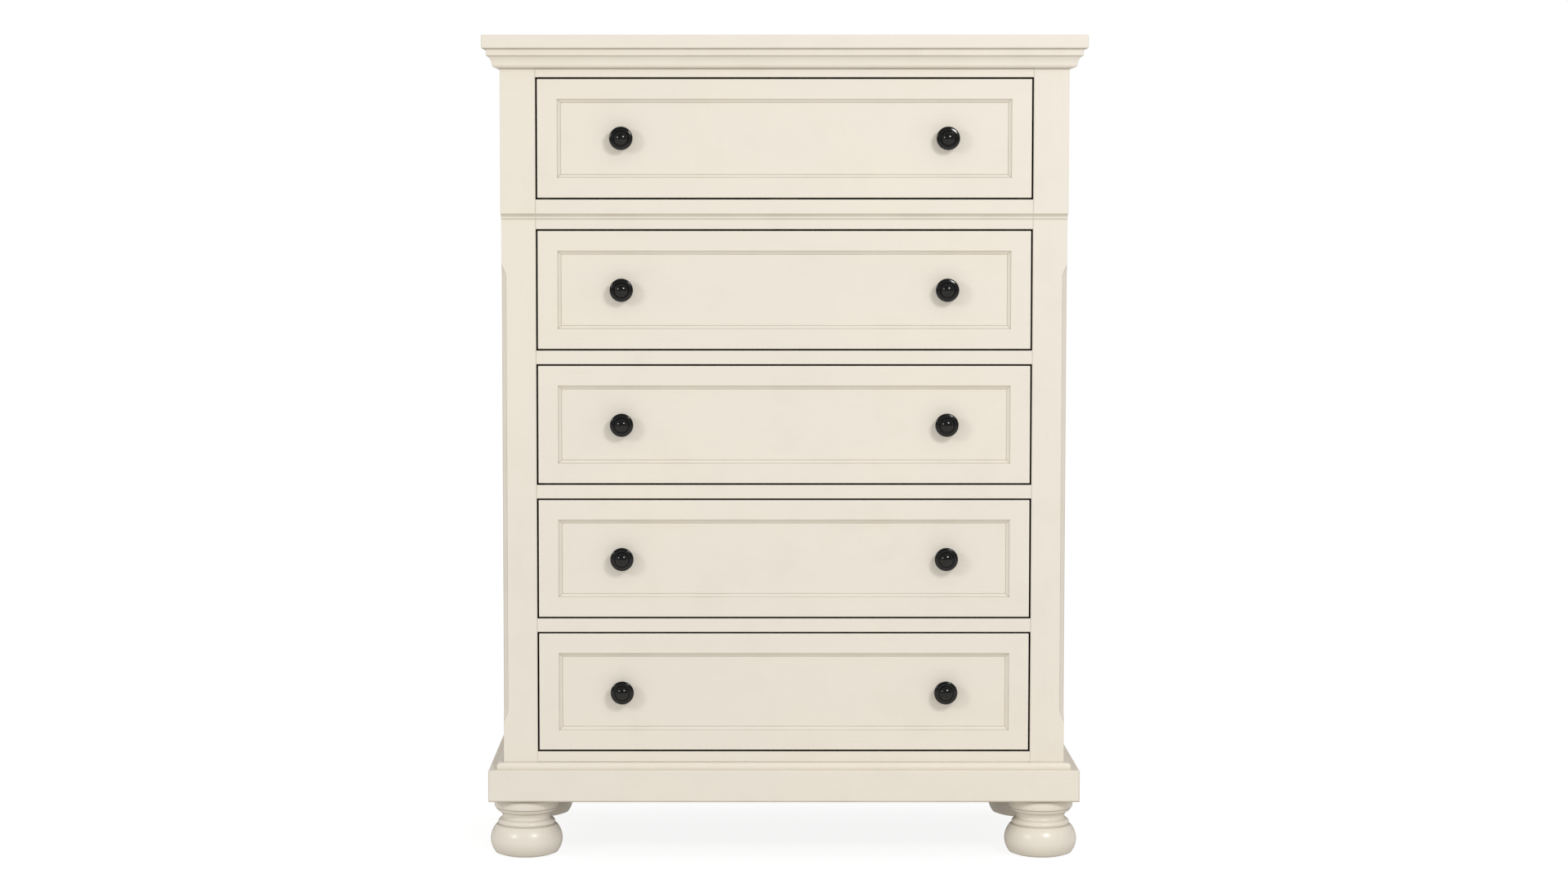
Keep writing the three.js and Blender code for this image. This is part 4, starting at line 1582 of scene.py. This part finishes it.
class ChestStageSet(bpy.types.Operator):
    """Sets up the camera, the two soft lights, the pale room and the floor"""

    bl_idname = "chest.stage"
    bl_label = "Stage"

    sensor = 36
    lens_shift = (0.0305, -0.0192)
    key_place = (1.45, -3.25, 2.4)
    fill_place = (-3.0, -3.1, 2.0)
    aim_height = -1.5
    floor_reach = 9.0
    white = (1.0, 1.0, 1.0, 1.0)
    mirrored_room = (0.2, 0.2, 0.2, 1.0)
    floor_light = (0.18, 0.18, 0.18, 1.0)
    floor_dark = (0.17, 0.17, 0.168, 1.0)
    floor_bounce = (0.38, 0.38, 0.37, 1.0)
    # The floor glows: warm light up onto the chest, and near white where the camera sees it.
    up_glow_warmth = (1.0, 0.955, 0.88, 1.0)
    up_glow = 0.3
    seen_glow = 0.88

    def execute(self, context):
        scene = context.scene
        look = scene.chest_stage
        lens = bpy.data.cameras.new("camera")
        lens.lens = look.lens
        lens.sensor_width = self.sensor
        lens.shift_x, lens.shift_y = self.lens_shift
        lens.clip_end = 100
        camera = bpy.data.objects.new("camera", lens)
        scene.collection.objects.link(camera)
        camera.location = (look.camera_x, BODY_FRONT - look.camera_distance, look.camera_height)
        camera.rotation_euler = (math.radians(90) - look.camera_tilt, 0, 0)
        scene.camera = camera
        low_aim = (0, BODY_FRONT, self.aim_height)
        soft_box("key_light", self.key_place, low_aim, 0.8, look.key)
        soft_box("fill_light", self.fill_place, low_aim, 0.9, look.fill)
        self.room(scene, look)
        self.floor(scene)
        scene.view_settings.view_transform = "Standard"
        return {"FINISHED"}

    def room(self, scene, look):
        """A pale room that lights the chest, seen as plain white and mirrored as grey."""
        world = bpy.data.worlds.new("room")
        scene.world = world
        world.use_nodes = True
        tree = world.node_tree
        rays = add_node(tree, "ShaderNodeLightPath").outputs
        air = (look.sky, look.sky, look.sky, 1.0)
        mirrored = mix_colour(tree, rays["Is Glossy Ray"], air, self.mirrored_room)
        shade = mix_colour(tree, rays["Is Camera Ray"], mirrored, self.white)
        tree.links.new(shade, tree.nodes["Background"].inputs["Color"])

    def floor(self, scene):
        """A white floor that shows faint soft shadows, throws back a little light and glows: a
        faint warm glow lights the chest from below, and a strong white glow keeps it nearly white
        where the camera sees it.
        """
        mesh = bpy.data.meshes.new("floor")
        reach = self.floor_reach
        corners = [(x, y, 0.0) for x, y in rectangle(-reach, reach, -reach, reach)]
        mesh.from_pydata(corners, [], [(0, 1, 2, 3)])
        floor = bpy.data.objects.new("floor", mesh)
        scene.collection.objects.link(floor)
        finish = bpy.data.materials.new("pale_floor")
        finish.use_nodes = True
        tree = finish.node_tree
        shader = tree.nodes["Principled BSDF"]
        haze = stretched_noise(tree, EVEN, 1.5, 2.0)
        tone = mix_colour(tree, haze, self.floor_dark, self.floor_light)
        rays = add_node(tree, "ShaderNodeLightPath").outputs["Is Camera Ray"]
        seen = mix_colour(tree, rays, self.floor_bounce, tone)
        tree.links.new(seen, shader.inputs["Base Color"])
        glow = ramp(tree, rays, 0.0, 1.0, self.up_glow, self.seen_glow)
        tree.links.new(glow, shader.inputs["Emission Strength"])
        shader.inputs["Roughness"].default_value = 0.8
        warmth = mix_colour(tree, rays, self.up_glow_warmth, self.white)
        tree.links.new(warmth, shader.inputs["Emission Color"])
        mesh.materials.append(finish)


# ------------------------------------------------------------------ panel and run

class ChestPanel(bpy.types.Panel):
    """Lists the chest's pieces in the sidebar"""

    bl_idname = "CHEST_PT_pieces"
    bl_label = "Painted chest"
    bl_space_type = "VIEW_3D"
    bl_region_type = "UI"
    bl_category = "Chest"

    def draw(self, context):
        column = self.layout.column(align=True)
        for operator in OPERATORS:
            column.operator(operator.bl_idname)
        for name in GROUP_NAMES:
            box = self.layout.box()
            group = getattr(context.scene, name)
            for key in group.__annotations__:
                box.prop(group, key)


GROUP_NAMES = {
    "chest_edges": ChestEdges,
    "chest_fronts": ChestFronts,
    "chest_paint": ChestPaint,
    "chest_knobs": ChestKnobs,
    "chest_stage": ChestStage,
}
OPERATORS = (
    ChestTopBoard, ChestCornice, ChestPosts, ChestRails, ChestSides, ChestBack, ChestPlinth,
    ChestFeet, ChestDrawerFronts, ChestDrawerBoxes, ChestKnobTurning, ChestGuides, ChestStageSet,
)


def register():
    for group in GROUP_NAMES.values():
        bpy.utils.register_class(group)
    for name, group in GROUP_NAMES.items():
        setattr(bpy.types.Scene, name, bpy.props.PointerProperty(type=group))
    for kind in (*OPERATORS, ChestPanel):
        bpy.utils.register_class(kind)


def unregister():
    for kind in (ChestPanel, *reversed(OPERATORS)):
        bpy.utils.unregister_class(kind)
    for name, group in GROUP_NAMES.items():
        delattr(bpy.types.Scene, name)
        bpy.utils.unregister_class(group)


def main():
    register()
    for operator in OPERATORS:
        namespace, action = operator.bl_idname.split(".")
        getattr(getattr(bpy.ops, namespace), action)()


if __name__ == "__main__":
    main()
